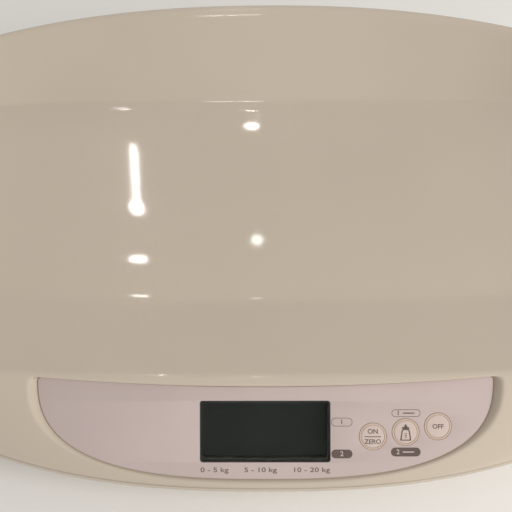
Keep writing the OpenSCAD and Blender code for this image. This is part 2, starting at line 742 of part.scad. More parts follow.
foot_pad(3);  // foot_pad_4
cell_leads();
battery_leads();
case_screws();
frame_screws();
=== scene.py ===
# %% [markdown]
# # A digital baby weighing scale
#
# The scale is a shallow cradle moulded in one piece, with a display and three keys on a flat
# crescent-shaped panel in its front slope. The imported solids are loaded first, as a fixed frame.
# Everything that is made here sits on them, in metres, with +Z up and +Y towards the high back wall.

# %% Load the frame
import json
import math
import bmesh
import bpy
from mathutils import Matrix, Vector
from mathutils.bvhtree import BVHTree

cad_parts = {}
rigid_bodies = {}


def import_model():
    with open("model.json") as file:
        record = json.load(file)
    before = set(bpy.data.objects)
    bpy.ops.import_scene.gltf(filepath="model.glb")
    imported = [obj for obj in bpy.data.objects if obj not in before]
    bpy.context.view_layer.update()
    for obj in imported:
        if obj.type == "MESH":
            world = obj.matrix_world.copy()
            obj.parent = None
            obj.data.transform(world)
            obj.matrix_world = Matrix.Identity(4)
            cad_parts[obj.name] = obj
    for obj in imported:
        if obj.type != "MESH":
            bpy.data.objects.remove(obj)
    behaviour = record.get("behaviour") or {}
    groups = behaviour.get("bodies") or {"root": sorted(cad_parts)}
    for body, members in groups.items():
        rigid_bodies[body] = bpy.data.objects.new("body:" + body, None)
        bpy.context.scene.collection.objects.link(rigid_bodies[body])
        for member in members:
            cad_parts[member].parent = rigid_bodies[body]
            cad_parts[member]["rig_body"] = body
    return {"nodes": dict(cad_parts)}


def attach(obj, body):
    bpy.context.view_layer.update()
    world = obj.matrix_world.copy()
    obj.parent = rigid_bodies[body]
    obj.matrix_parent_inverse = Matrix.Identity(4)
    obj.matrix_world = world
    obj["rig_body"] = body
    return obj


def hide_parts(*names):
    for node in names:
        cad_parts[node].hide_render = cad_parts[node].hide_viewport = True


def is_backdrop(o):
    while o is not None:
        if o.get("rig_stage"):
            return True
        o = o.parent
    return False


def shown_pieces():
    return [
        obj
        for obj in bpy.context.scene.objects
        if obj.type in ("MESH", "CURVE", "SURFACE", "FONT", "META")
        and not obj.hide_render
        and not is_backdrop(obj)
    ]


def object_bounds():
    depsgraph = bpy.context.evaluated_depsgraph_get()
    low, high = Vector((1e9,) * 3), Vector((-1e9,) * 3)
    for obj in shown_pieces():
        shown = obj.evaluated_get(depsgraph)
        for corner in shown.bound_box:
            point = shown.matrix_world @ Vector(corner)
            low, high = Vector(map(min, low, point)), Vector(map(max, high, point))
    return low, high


for thing in list(bpy.data.objects):
    bpy.data.objects.remove(thing)
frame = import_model()
cad_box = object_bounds()
MM = 0.001
BODY = "housing"

# %% [markdown]
# ## Helpers for every piece
#
# A piece is finished when its mesh holds its place in metres, its object sits at the origin, its
# faces are smooth, and it rides on a body. Doing that in one function keeps the later cells short.

# %% Turn a bmesh into a finished piece
def finish_piece(bm, name, body=BODY, smooth=35.0, turn=None):
    bmesh.ops.remove_doubles(bm, verts=bm.verts, dist=1e-6)
    if turn is not None:
        bmesh.ops.transform(bm, matrix=turn, verts=bm.verts)
    mesh = bpy.data.meshes.new(name)
    bm.to_mesh(mesh)
    bm.free()
    piece = bpy.data.objects.new(name, mesh)
    bpy.context.scene.collection.objects.link(piece)
    mesh.shade_smooth()
    mesh.set_sharp_from_angle(angle=math.radians(smooth))
    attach(piece, body)
    print(f"{name}: {len(mesh.polygons)} faces")
    return piece


def baked(piece):
    """The piece's mesh with its modifiers worked in."""
    bpy.context.view_layer.update()
    shape = bpy.data.meshes.new_from_object(piece.evaluated_get(bpy.context.evaluated_depsgraph_get()))
    old = piece.data
    piece.modifiers.clear()
    piece.data = shape
    shape.name = piece.name
    bpy.data.meshes.remove(old)
    return piece


def verts_in(geom):
    return [g for g in geom if isinstance(g, bmesh.types.BMVert)]


def edges_in(geom):
    return [g for g in geom if isinstance(g, bmesh.types.BMEdge)]

# %% [markdown]
# ## The tray's surface as a formula
#
# A mould maker describes such a tray by a few curves: the outline of the skirt, the line of the lip,
# the line where the floor starts to rise, and their heights. Between them each cross-section is a
# smooth curve. The same curves shape the solids, so both models agree to a fraction of a millimetre,
# but here the surface gets many more sections. All lengths in these formulas are in millimetres.

# %% The tray's main sizes
HALF_L, HALF_D = 275.5, 171.5
FLOOR_TOP, CRADLE_R, END_RISE = 47.6, 2040.0, 32.5
SKIRT_N, CREST_N, RIM_N, CREASE_N = 2.37, 3.9, 2.27, 3.2
FRONT_LIP_X, FRONT_LIP_Y, RIM_Y = 300, 121.5, 165.7
FRONT_FLOOR_X, FRONT_FLOOR_Y, BACK_FLOOR_Y = 270, 67.5, 103
FRONT_SKIRT_Z, BACK_SKIRT_Z, END_SKIRT_Z = 26, 62, 72
CREST_Z, RIM_Z, END_LIP = 61.7, 94.6, 12.5


def mix(a, b, t):
    return a + (b - a) * t


def ease(t):
    return t * t * (3 - 2 * t)


def around(phi, front, end, back):
    """A value given at the front, the ends and the back, which eases between them near the ends."""
    s = math.sin(phi)
    return mix(end, front if s < 0 else back, ease(min(1.0, 1.25 * abs(s))))


def curve(points, t):
    """A Bezier curve of any number of (distance, height) points."""
    while len(points) > 1:
        points = [(mix(a[0], b[0], t), mix(a[1], b[1], t)) for a, b in zip(points, points[1:])]
    return points[0]


# %% Outlines of the skirt, the lip and the floor
def reach(phi, a, b, n):
    x, y = HALF_L * math.cos(phi), HALF_D * math.sin(phi)
    return (abs(x / a) ** n + abs(y / b) ** n) ** (-1 / n)


def soft_min(a, b, sharp=24):
    return (a ** -sharp + b ** -sharp) ** (-1 / sharp)


def skirt_k(phi):
    return reach(phi, HALF_L, HALF_D, SKIRT_N)


def front_lip_k(phi):
    return soft_min(reach(phi, FRONT_LIP_X, FRONT_LIP_Y, CREST_N), 0.975 * skirt_k(phi))


def front_floor_k(phi):
    return soft_min(reach(phi, FRONT_FLOOR_X, FRONT_FLOOR_Y, CREST_N), 0.87 * skirt_k(phi))


def lip_k(phi):
    if math.sin(phi) < 0:
        return front_lip_k(phi)
    return reach(phi, HALF_L * front_lip_k(0), RIM_Y, RIM_N)


def floor_k(phi):
    if math.sin(phi) < 0:
        return front_floor_k(phi)
    return reach(phi, HALF_L * front_floor_k(0), BACK_FLOOR_Y, CREASE_N)


# %% Heights along the tray
def floor_z(x):
    return FLOOR_TOP + x * x / (2 * CRADLE_R) + END_RISE * (abs(x) / HALF_L) ** 5


def skirt_z(phi, x):
    t = abs(x) / HALF_L
    if math.sin(phi) < 0:
        return mix(FRONT_SKIRT_Z, END_SKIRT_Z, t ** 3.5)
    return mix(BACK_SKIRT_Z, END_SKIRT_Z, t ** 3)


def lip_z(phi, x):
    end_x = HALF_L * front_lip_k(0)
    t = min(1.0, abs(x) / end_x)
    if math.sin(phi) < 0:
        return mix(CREST_Z, floor_z(end_x) + END_LIP, t ** 5)
    return mix(RIM_Z, floor_z(end_x) + END_LIP, t ** 3.7)


# %% One cross-section, from the middle of the floor out to the skirt's edge
def section(phi, floor_rings=10, wall_rings=16, roll_rings=10, face_rings=16):
    length = math.hypot(HALF_L * math.cos(phi), HALF_D * math.sin(phi))
    ux = HALF_L * math.cos(phi) / length
    floor_r, lip_r, skirt_r = (length * k(phi) for k in (floor_k, lip_k, skirt_k))
    fillet, wall_end = around(phi, 0.06, 0.6, 0.08), around(phi, 0.95, 0.76, 0.83)
    lip = (lip_r, lip_z(phi, lip_r * ux))
    edge = (skirt_r, skirt_z(phi, skirt_r * ux))
    lift = lip[1] - floor_z(lip_r * ux)

    def wall(s):
        u = s * wall_end
        risen = (u * u / (2 * fillet) if u < fillet else u - fillet / 2) / (1 - fillet / 2)
        r = mix(floor_r, lip_r, u)
        return r, floor_z(r * ux) + lift * risen

    chord = math.atan2(lip[1] - edge[1], edge[0] - lip[0])
    bulge = 56 * (math.sin(phi) * math.cos(phi)) ** 2 if math.sin(phi) < 0 else 0
    top = chord - math.radians(around(phi, 1.6, 5, 5) + bulge)
    end = chord + math.radians(around(phi, 26, 6, 6))
    reach_out = around(phi, 5.5, 12, 14)
    shoulder = (lip[0] + reach_out * math.cos(top), lip[1] - reach_out * math.sin(top))
    span = math.dist(edge, shoulder)
    pull_a = (shoulder[0] + 0.5 * span * math.cos(top), shoulder[1] - 0.5 * span * math.sin(top))
    pull_b = (edge[0] - 0.12 * span * math.cos(end), edge[1] + 0.12 * span * math.sin(end))
    floor_steps = [s / floor_rings * floor_r for s in range(floor_rings + 1)]
    points = [(r, floor_z(r * ux)) for r in floor_steps]
    points += [wall((s + 1) / wall_rings) for s in range(wall_rings)]
    points += [curve([wall(1), lip, shoulder], (s + 1) / roll_rings) for s in range(roll_rings)]
    points += [curve([shoulder, pull_a, pull_b, edge], (s + 1) / face_rings) for s in range(face_rings)]
    return points


def spot(phi, p):
    x, y = HALF_L * math.cos(phi), HALF_D * math.sin(phi)
    length = math.hypot(x, y)
    return Vector((p[0] * x / length, p[0] * y / length, p[1]))


RINGS = len(section(0)) - 1
print("section at the front:", [tuple(round(c, 1) for c in p) for p in section(-math.pi / 2)[::8]])

# %% [markdown]
# ## The bare cradle
#
# The surface could be sculpted, or made from a few curves with a lofting add-on. A grid made by one
# operator is simpler: its two directions become "round the tray" and "from the middle outwards", and
# the formula moves each vertex to its place. Merging the doubles closes the seam and the middle.

# %% Lay the grid on the formula
SECTIONS = 300


def cradle_skin():
    bm = bmesh.new()
    bmesh.ops.create_grid(bm, x_segments=SECTIONS, y_segments=RINGS, size=0.5)
    sections = {}
    for v in bm.verts:
        j, i = round((v.co.x + 0.5) * SECTIONS) % SECTIONS, round((v.co.y + 0.5) * RINGS)
        if j not in sections:
            sections[j] = section(math.tau * j / SECTIONS)
        v.co = spot(math.tau * j / SECTIONS, sections[j][i]) * MM
    bmesh.ops.remove_doubles(bm, verts=bm.verts, dist=1e-6)
    bmesh.ops.recalc_face_normals(bm, faces=bm.faces)
    top = min(bm.faces, key=lambda f: f.calc_center_median().xy.length)
    if top.normal.z < 0:
        bmesh.ops.reverse_faces(bm, faces=bm.faces)
    return bm


bare = cradle_skin()
surface = BVHTree.FromBMesh(bare)
print("bare cradle:", len(bare.faces), "faces")

# %% [markdown]
# ## The panel's own plane
#
# The panel is flat and tilted. Its shapes are easiest to write in its own plane, with x along the
# tray and y up the slope, and one matrix then puts them on the tray.

# %% The panel's plane and its crescent outline
PANEL = Matrix.Translation(Vector((0, -145.25, 43.2)) * MM) @ Matrix.Rotation(math.radians(32.5), 4, "X")
TO_PANEL = PANEL.inverted()
PANEL_A, ENDS_Y, TOP_Y, BOTTOM_Y, PANEL_N = 120.4, 29.6, 24.2, -24.5, 2.7


def crescent(corner=2.4, side_steps=150, top_steps=90):
    """Points of the crescent, anticlockwise from the top left corner, in millimetres."""
    drop = ENDS_Y - BOTTOM_Y
    def low(t):
        c, s = math.cos(t), math.sin(t)
        return (PANEL_A * math.copysign(abs(c) ** (2 / PANEL_N), c), ENDS_Y - drop * abs(s) ** (2 / PANEL_N))
    def top(s):
        return (s * PANEL_A, mix(TOP_Y, ENDS_Y, s * s))
    first = math.asin((corner / drop) ** (PANEL_N / 2))
    side = [low(math.pi + first + (math.pi - 2 * first) * i / side_steps) for i in range(side_steps + 1)]
    span = 1 - corner / PANEL_A
    upper = [top(span * (1 - 2 * i / top_steps)) for i in range(top_steps + 1)]
    right = [curve([side[-1], top(1), upper[0]], i / 6) for i in range(1, 6)]
    left = [curve([upper[-1], top(-1), side[0]], i / 6) for i in range(1, 6)]
    return side + right + upper + left


def outward(points):
    """The outward normal at each point of an anticlockwise outline."""
    n = len(points)
    out = []
    for i in range(n):
        a, b = points[i - 1], points[(i + 1) % n]
        d = Vector((b[0] - a[0], b[1] - a[1])).normalized()
        out.append(Vector((d.y, -d.x)))
    return out


outline = crescent()
normals = outward(outline)
print("crescent:", len(outline), "points,", round(max(p[0] for p in outline) * 2, 1), "mm long")

# %% [markdown]
# ## The recess round the panel
#
# The panel lies in a recess whose wall leans back at the two ends, thins out towards the bottom and
# hardly shows along the top, where the lip comes down to the panel. Its upper edge is softly rounded.
# Cutting it with a boolean alone would leave a knife edge. So a boolean only makes a clean hole on
# the smooth surface, and rings of new faces are then drawn from the hole's edge inwards.

# %% Work out the recess at each point of the outline
PANEL_T, GROOVE = 1.2, 0.5


def height_over_panel(x, y):
    """Height of the bare cradle above the panel's plane, in millimetres."""
    start = PANEL @ (Vector((x, y, 60)) * MM)
    down = PANEL.to_3x3() @ Vector((0, 0, -1))
    hit = surface.ray_cast(start, down)[0]
    return (TO_PANEL @ hit).z / MM


def recess_rings(p, n):
    """Points from the smooth surface, over the rounded edge, down the wall and under the panel."""
    lean = 0.7 * Vector((p[0] / PANEL_A, min(0.0, (p[1] - TOP_Y) / (TOP_Y - BOTTOM_Y))))
    foot = Vector(p) + n * GROOVE
    rise = 0.0
    for _ in range(12):
        at = foot + lean * rise
        rise = mix(rise, height_over_panel(at.x, at.y) + PANEL_T, 0.7)
    rise = max(rise, 0.7)
    brow = foot + lean * rise
    soft = min(1.5, 0.45 * rise)
    outer = brow + n * (soft * 1.3 + 0.4)
    rings = [Vector((outer.x, outer.y, height_over_panel(outer.x, outer.y)))]
    rim = brow + n * soft
    rim = Vector((rim.x, rim.y, height_over_panel(rim.x, rim.y)))
    brow = Vector((brow.x, brow.y, rise - PANEL_T))
    wall_foot = Vector((foot.x, foot.y, -PANEL_T))
    wall = brow.lerp(wall_foot, min(0.8, soft / max(rise, 0.01)))
    for t in (0, 0.2, 0.4, 0.6, 0.8, 1):
        rings.append(rim.lerp(brow, t).lerp(brow.lerp(wall, t), t))
    rings += [wall.lerp(wall_foot, 0.5), wall_foot]
    seat = Vector(p) - n * 1.2
    rings.append(Vector((seat.x, seat.y, -PANEL_T)))
    return rings


recess = [recess_rings(p, n) for p, n in zip(outline, normals)]
heights = [r[0].z for r in recess]
print("the recess is", round(min(heights), 1), "to", round(max(heights), 1), "mm deep over the panel's face")

# %% Cut the hole on the smooth surface
def loose_object(bm, name):
    mesh = bpy.data.meshes.new(name)
    bm.to_mesh(mesh)
    bm.free()
    thing = bpy.data.objects.new(name, mesh)
    bpy.context.scene.collection.objects.link(thing)
    return thing


def prism(points, low, high, name):
    """A closed block over an outline in the panel's plane."""
    bm = bmesh.new()
    verts = [bm.verts.new(Vector((p[0], p[1], low)) * MM) for p in points]
    face = bm.faces.new(verts)
    top = bmesh.ops.extrude_face_region(bm, geom=[face])["geom"]
    bmesh.ops.translate(bm, verts=verts_in(top), vec=(0, 0, (high - low) * MM))
    bmesh.ops.transform(bm, matrix=PANEL, verts=bm.verts)
    bmesh.ops.recalc_face_normals(bm, faces=bm.faces)
    return loose_object(bm, name)


def close_below(bm, depth):
    """Turns the open skin into a block, because a boolean wants a closed shape."""
    rim = [e for e in bm.edges if e.is_boundary]
    low = bmesh.ops.extrude_edge_only(bm, edges=rim)["geom"]
    for v in verts_in(low):
        v.co.z = depth * MM
    bmesh.ops.contextual_create(bm, geom=[e for e in bm.edges if e.is_boundary])


close_below(bare, -40)
block = loose_object(bare, "cradle_block")
cutter = prism([(r[0].x, r[0].y) for r in recess], -25, 60, "recess_cutter")
cut = block.modifiers.new("recess", "BOOLEAN")
cut.operation, cut.solver, cut.object = "DIFFERENCE", "EXACT", cutter
baked(block)
bpy.data.objects.remove(cutter)
print("cut block:", len(block.data.polygons), "faces")

# %% [markdown]
# The boolean leaves the hole's own walls and the block's underside. Only the smooth skin is kept:
# a face belongs to it if its middle lies on the bare surface. The hole's edge is then one closed loop
# of boundary edges, on which the rings start.

# %% Keep the skin, and find the hole's edge
bm = bmesh.new()
bm.from_mesh(block.data)
bpy.data.objects.remove(block)
stray = []
for f in bm.faces:
    c = f.calc_center_median()
    near = surface.find_nearest(c, 0.004)[0]
    if near is None or (near - c).length > 0.00015:
        stray.append(f)
bmesh.ops.delete(bm, geom=stray, context="FACES")
bmesh.ops.remove_doubles(bm, verts=bm.verts, dist=2e-6)


def in_panel(v):
    return (TO_PANEL @ v.co) / MM


def on_skirt(e):
    """True for an edge of the skin's outer boundary, which follows the skirt's outline."""
    def reached(v):
        return abs(v.co.x / MM / HALF_L) ** SKIRT_N + abs(v.co.y / MM / HALF_D) ** SKIRT_N
    return all(reached(v) > 0.998 for v in e.verts)


boundary = [e for e in bm.edges if e.is_boundary]
skirt = [e for e in boundary if on_skirt(e)]
hole = [e for e in boundary if not on_skirt(e)]
print("skin:", len(bm.faces), "faces; skirt:", len(skirt), "edges; hole:", len(hole), "edges")

# %% Draw the recess's rings inwards from the hole's edge
ring_edge = [r[0].xy for r in recess]


def place_on_outline(point):
    """Where a point of the hole's edge lies along the outline, as an index and a fraction."""
    best = None
    n = len(ring_edge)
    for i in range(n):
        a, b = ring_edge[i], ring_edge[(i + 1) % n]
        d = b - a
        t = max(0.0, min(1.0, (point - a).dot(d) / d.length_squared))
        gap = (a + d * t - point).length
        if best is None or gap < best[0]:
            best = (gap, i, t)
    return best[1], best[2]


places = {v: place_on_outline(in_panel(v).xy) for e in hole for v in e.verts}
edges = hole
for ring in range(1, len(recess[0])):
    grown = bmesh.ops.extrude_edge_only(bm, edges=edges)["geom"]
    edges = edges_in(grown)
    partner = {}
    for v in verts_in(grown):
        for e in v.link_edges:
            other = e.other_vert(v)
            if other in places:
                partner[v] = places[other]
    for v, (i, t) in partner.items():
        a, b = recess[i][ring], recess[(i + 1) % len(recess)][ring]
        v.co = PANEL @ (a.lerp(b, t) * MM)
    places = partner
print("after the rings:", len(bm.faces), "faces,", len(edges), "edges inside")

# %% [markdown]
# The seat under the panel closes the recess. It has an opening for the display and one for each key,
# so it is filled between loops. An operator that fills a face around holes does that in one step.

# %% Fill the seat, leave its openings, and give them walls
WINDOW, WINDOW_AT = (69.2, 32.6), (0.0, 0.5)
KEYS = {"key_on_zero": (56.9, -2.1), "key_feed": (74.2, 0.2), "key_off": (91.2, 3.2)}
SEAT_T = 3.0


def circle(radius, at=(0, 0), steps=64):
    return [(at[0] + radius * math.cos(math.tau * i / steps), at[1] + radius * math.sin(math.tau * i / steps))
            for i in range(steps)]


def rounded_rectangle(size, corner, at=(0, 0), steps=8):
    points = []
    for k, (sx, sy) in enumerate([(1, 1), (-1, 1), (-1, -1), (1, -1)]):
        cx, cy = at[0] + sx * (size[0] / 2 - corner), at[1] + sy * (size[1] / 2 - corner)
        points += [(cx + corner * math.cos(math.pi / 2 * (k + i / steps)),
                    cy + corner * math.sin(math.pi / 2 * (k + i / steps))) for i in range(steps + 1)]
    return points


def loop_edges(bm, points, z):
    verts = [bm.verts.new(PANEL @ (Vector((p[0], p[1], z)) * MM)) for p in points]
    return [bm.edges.new((a, b)) for a, b in zip(verts, verts[1:] + verts[:1])]


openings = [rounded_rectangle((WINDOW[0] - 3, WINDOW[1] - 3), 1.2, WINDOW_AT)]
openings += [circle(8.5, at) for at in KEYS.values()]
inner_loops = [loop_edges(bm, points, -PANEL_T) for points in openings]
panel_up = PANEL.to_3x3() @ Vector((0, 0, 1))
filled = bmesh.ops.triangle_fill(bm, edges=edges + sum(inner_loops, []), use_beauty=True, normal=panel_up)
for loop in inner_loops:
    grown = bmesh.ops.extrude_edge_only(bm, edges=loop)["geom"]
    bmesh.ops.translate(bm, verts=verts_in(grown), vec=panel_up * -SEAT_T * MM)
seat_faces = [g for g in filled["geom"] if isinstance(g, bmesh.types.BMFace)]
print("seat:", len(seat_faces), "faces round", len(openings), "openings")

# %% [markdown]
# The skirt ends in a narrow flat edge that stands just over the lower cover. It is drawn inwards from
# the skin's outer boundary in short steps that make a quarter round, so that it catches the light.

# %% Turn the skirt's edge in and round it
EDGE_STEPS = [(0.06, 0.22), (0.16, 0.16), (0.24, 0.08), (2.0, 0.0)]


def plan_normal(phi):
    def at(t):
        return HALF_L * math.cos(t) * skirt_k(t), HALF_D * math.sin(t) * skirt_k(t)
    a, b = at(phi - 0.01), at(phi + 0.01)
    d = Vector((b[0] - a[0], b[1] - a[1], 0)).normalized()
    return Vector((d.y, -d.x, 0))


edges = skirt
for inwards, down in EDGE_STEPS:
    grown = bmesh.ops.extrude_edge_only(bm, edges=edges)["geom"]
    edges = edges_in(grown)
    for v in verts_in(grown):
        phi = math.atan2(v.co.y / HALF_D, v.co.x / HALF_L)
        v.co -= plan_normal(phi) * inwards * MM + Vector((0, 0, down * MM))
bmesh.ops.recalc_face_normals(bm, faces=bm.faces)
low = min(bm.faces, key=lambda f: f.calc_center_median().xy.length)
if low.normal.z < 0:
    bmesh.ops.reverse_faces(bm, faces=bm.faces)
tray = finish_piece(bm, "tray", smooth=50)
wall = tray.modifiers.new("wall", "SOLIDIFY")
wall.thickness, wall.offset, wall.use_rim = 2.4 * MM, -1, True
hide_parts("tray_shell")
print("tray: wall", wall.thickness / MM, "mm")

# %% [markdown]
# ## Flat printed parts
#
# The panel sheet, the display's dark border and every printed mark are flat shapes with holes. A
# filled 2D curve makes such a shape with softly rounded edges, and text is the same kind of curve.
# Each is made a mesh before it is put in its place.

# %% Flat shapes and text as meshes
def mesh_of(data, name):
    thing = bpy.data.objects.new(name, data)
    bpy.context.scene.collection.objects.link(thing)
    bpy.context.view_layer.update()
    mesh = bpy.data.meshes.new_from_object(thing.evaluated_get(bpy.context.evaluated_depsgraph_get()))
    bpy.data.objects.remove(thing)
    return mesh


def add_flat(bm, loops, low, high, soft=0.0):
    """A plate between two heights, in millimetres; the first loop is its outline, the others are holes."""
    shape = bpy.data.curves.new("flat", "CURVE")
    shape.dimensions, shape.fill_mode = "2D", "BOTH"
    for points in loops:
        spline = shape.splines.new("POLY")
        spline.points.add(len(points) - 1)
        for knot, p in zip(spline.points, points):
            knot.co = (p[0], p[1], 0, 1)
        spline.use_cyclic_u = True
    shape.extrude, shape.bevel_depth, shape.offset = (high - low) / 2 - soft, soft, -soft
    shape.bevel_resolution = 2
    mesh = mesh_of(shape, "flat")
    mesh.transform(Matrix.Scale(MM, 4) @ Matrix.Translation((0, 0, (low + high) / 2)))
    bm.from_mesh(mesh)


def add_text(bm, words, size, at, low, high, bold=0.0, width=None):
    shape = bpy.data.curves.new("words", "FONT")
    shape.body, shape.size, shape.align_x, shape.align_y = words, size, "CENTER", "CENTER"
    shape.extrude, shape.offset, shape.resolution_u = (high - low) / 2, bold, 4
    mesh = mesh_of(shape, "words")
    across = [v.co.x for v in mesh.vertices]
    stretch = width / (max(across) - min(across)) if width else 1
    place = Matrix.Translation((at[0], at[1], (low + high) / 2))
    mesh.transform(Matrix.Scale(MM, 4) @ place @ Matrix.Diagonal((stretch, 1, 1, 1)))
    bm.from_mesh(mesh)

# %% The panel sheet
bm = bmesh.new()
KEY_HOLE_R = 7.25
key_holes = [circle(KEY_HOLE_R, at) for at in KEYS.values()]
add_flat(bm, [outline, rounded_rectangle(WINDOW, 1.5, WINDOW_AT)] + key_holes, -PANEL_T, 0, soft=0.2)
panel = finish_piece(bm, "panel_sheet", smooth=40, turn=PANEL)
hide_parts("panel_overlay")

# %% [markdown]
# ## The display
#
# Under the clear window a dark border is printed, and behind it lies the liquid-crystal cell. When the
# scale is off, the cell is an even, very dark grey-green. Its digits are still there, though, as
# segments a shade darker, and anyone who tilts such a display sees them.

# %% Window, border, cell and its resting digits
bm = bmesh.new()
add_flat(bm, [rounded_rectangle((WINDOW[0] - 0.4, WINDOW[1] - 0.4), 1.3, WINDOW_AT)], -1.05, -0.12, soft=0.15)
lens = finish_piece(bm, "display_window", turn=PANEL)
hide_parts("display_lens")

bm = bmesh.new()
add_flat(bm, [rounded_rectangle((WINDOW[0] - 0.4, WINDOW[1] - 0.4), 1.3, WINDOW_AT),
              rounded_rectangle((WINDOW[0] - 3.4, WINDOW[1] - 3.4), 1.0, WINDOW_AT)], -1.16, -1.1)
border = finish_piece(bm, "display_border", turn=PANEL)

CELL_Z = -4.4


def digit_segments(x, y, w, h, bar, slant=0.09):
    """The seven bars of one digit, as six-sided outlines."""
    bars = []
    for cx, cy, along in [(0, h, 0), (0, h / 2, 0), (0, 0, 0), (-w / 2, h * 0.75, 1), (w / 2, h * 0.75, 1),
                          (-w / 2, h / 4, 1), (w / 2, h / 4, 1)]:
        half, b = ((h / 4 - bar * 0.35) if along else (w / 2 - bar * 0.35)), bar / 2
        pts = [(-half, 0), (-half + b, -b), (half - b, -b), (half, 0), (half - b, b), (-half + b, b)]
        pts = [(p[1], p[0]) for p in reversed(pts)] if along else pts
        bars.append([(x + cx + p[0] + slant * (cy + p[1]), y + cy + p[1]) for p in pts])
    return bars


bm = bmesh.new()
for k in range(5):
    x = WINDOW_AT[0] - 22.5 + 11.3 * k
    for bar in digit_segments(x, WINDOW_AT[1] - 7.5, 6.6, 15, 1.5):
        add_flat(bm, [bar], CELL_Z + 0.005, CELL_Z + 0.03)
add_flat(bm, [circle(0.8, (WINDOW_AT[0] + 6.3, WINDOW_AT[1] - 7.5), 16)], CELL_Z + 0.005, CELL_Z + 0.03)
digits = finish_piece(bm, "resting_digits", turn=PANEL)

# %% [markdown]
# ## Keys
#
# A key is a turned shape: a shallow dome with a soft ring of a warmer colour round it, a flange that
# keeps it in, and a stem. One profile is spun round the key's axis. The ring is its own piece, since
# it is another material.

# %% Spin a profile, then make the three keys
def add_spin(bm, profile, at=(0, 0), steps=96):
    """A turned solid; the profile lists (radius, height) in millimetres, from axis to axis."""
    verts = [bm.verts.new(Vector((r, 0, z)) * MM) for r, z in profile]
    edges = [bm.edges.new(pair) for pair in zip(verts, verts[1:])]
    bmesh.ops.spin(bm, geom=verts + edges, axis=(0, 0, 1), cent=(0, 0, 0), angle=math.tau,
                   steps=steps, use_merge=True)
    whole = {v for v in bm.verts if v.is_valid and not v.tag}
    for v in whole:
        v.co += Vector((at[0], at[1], 0)) * MM
        v.tag = True


DOME_R, CAP_R, DOME_TOP = 60.0, 6.1, 0.5


def dome_height(r):
    return DOME_TOP - DOME_R + math.sqrt(DOME_R ** 2 - r * r)


for name, at in KEYS.items():
    bm = bmesh.new()
    dome = [(r, dome_height(r)) for r in (0, 1, 2, 3, 4, 4.8, 5.3, 5.6)]
    add_spin(bm, dome + [(5.85, 0.14), (6.0, 0.02), (CAP_R, -0.15), (CAP_R, -1.4), (8.1, -1.5), (8.1, -2.4),
                         (3, -2.4), (3, -5.2), (0, -5.2)], at)
    bmesh.ops.recalc_face_normals(bm, faces=bm.faces)
    cap = finish_piece(bm, name + "_cap", body=name, turn=PANEL)
    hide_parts(name)
    bm = bmesh.new()
    ring = [(6.14, -1.3), (6.14, 0.0), (6.24, 0.14), (6.45, 0.2), (6.75, 0.18), (7.0, 0.08), (7.1, -0.1),
            (7.12, -1.3), (6.14, -1.3)]
    add_spin(bm, ring, at)
    bmesh.ops.recalc_face_normals(bm, faces=bm.faces)
    finish_piece(bm, name + "_ring", body=name, turn=PANEL)

# %% [markdown]
# ## Printing on the panel and the keys
#
# The marks are thin films of ink. They stay generic: ON, ZERO and OFF on the keys, a bottle for the
# feeding key, the plain figures 1 and 2 in their frames, and the scale's range in plain figures.
# A mark on a domed key follows the dome, so its vertices are lifted by the dome's own formula.

# %% Frames, figures and the range on the panel
INK = (0.01, 0.05)


def pill(size, at):
    return rounded_rectangle(size, size[1] / 2 - 0.02, at, steps=10)


bm = bmesh.new()
for size, at in [((15.2, 3.9), (74.5, 10.2)), ((11.2, 4.5), (40.6, 5.5))]:
    add_flat(bm, [pill(size, at), pill((size[0] - 0.5, size[1] - 0.5), at)], *INK)
for size, at in [((15.6, 4.7), (74.3, -10.3)), ((11.2, 4.6), (40.6, -11.3))]:
    add_flat(bm, [pill(size, at)], *INK)
add_text(bm, "1", 3.6, (70.4, 10.2), *INK, bold=0.05)
add_text(bm, "1", 3.6, (40.6, 5.5), *INK, bold=0.05)
add_flat(bm, [rounded_rectangle((6.2, 0.6), 0.28, (75.9, 10.2), steps=3)], *INK)
add_text(bm, "0 - 5 kg      5 - 10 kg      10 - 20 kg", 3.5, (0, -19.8), *INK, bold=0.02, width=68.5)
panel_print = finish_piece(bm, "panel_print", turn=PANEL)

bm = bmesh.new()
add_text(bm, "2", 3.6, (70.2, -10.3), 0.055, 0.09, bold=0.05)
add_flat(bm, [rounded_rectangle((6.2, 0.6), 0.28, (75.7, -10.3), steps=3)], 0.055, 0.09)
add_text(bm, "2", 3.6, (40.6, -11.3), 0.055, 0.09, bold=0.05)
light_print = finish_piece(bm, "panel_print_light", turn=PANEL)

# %% Words and the bottle on the keys
def bottle(at, s=1.0):
    """An outlined feeding bottle: body, collar and teat."""
    x, y = at
    body = [(-2.6, -4.3), (2.6, -4.3), (2.9, -4.0), (2.2, 0.8), (1.5, 1.9), (-1.5, 1.9),
            (-2.2, 0.8), (-2.9, -4.0)]
    inner = [(p[0] * 0.74, p[1] * 0.82 - 0.22) for p in body]
    collar = [(-2.1, 1.9), (2.1, 1.9), (1.6, 2.9), (-1.6, 2.9)]
    teat = [(-0.9, 2.9), (0.9, 2.9), (0.65, 3.4), (0.5, 4.0), (0, 4.4), (-0.5, 4.0), (-0.65, 3.4)]
    place = lambda pts: [(x + s * p[0], y + s * p[1]) for p in pts]
    return [[place(body), place(inner)], [place(collar)], [place(teat)]]


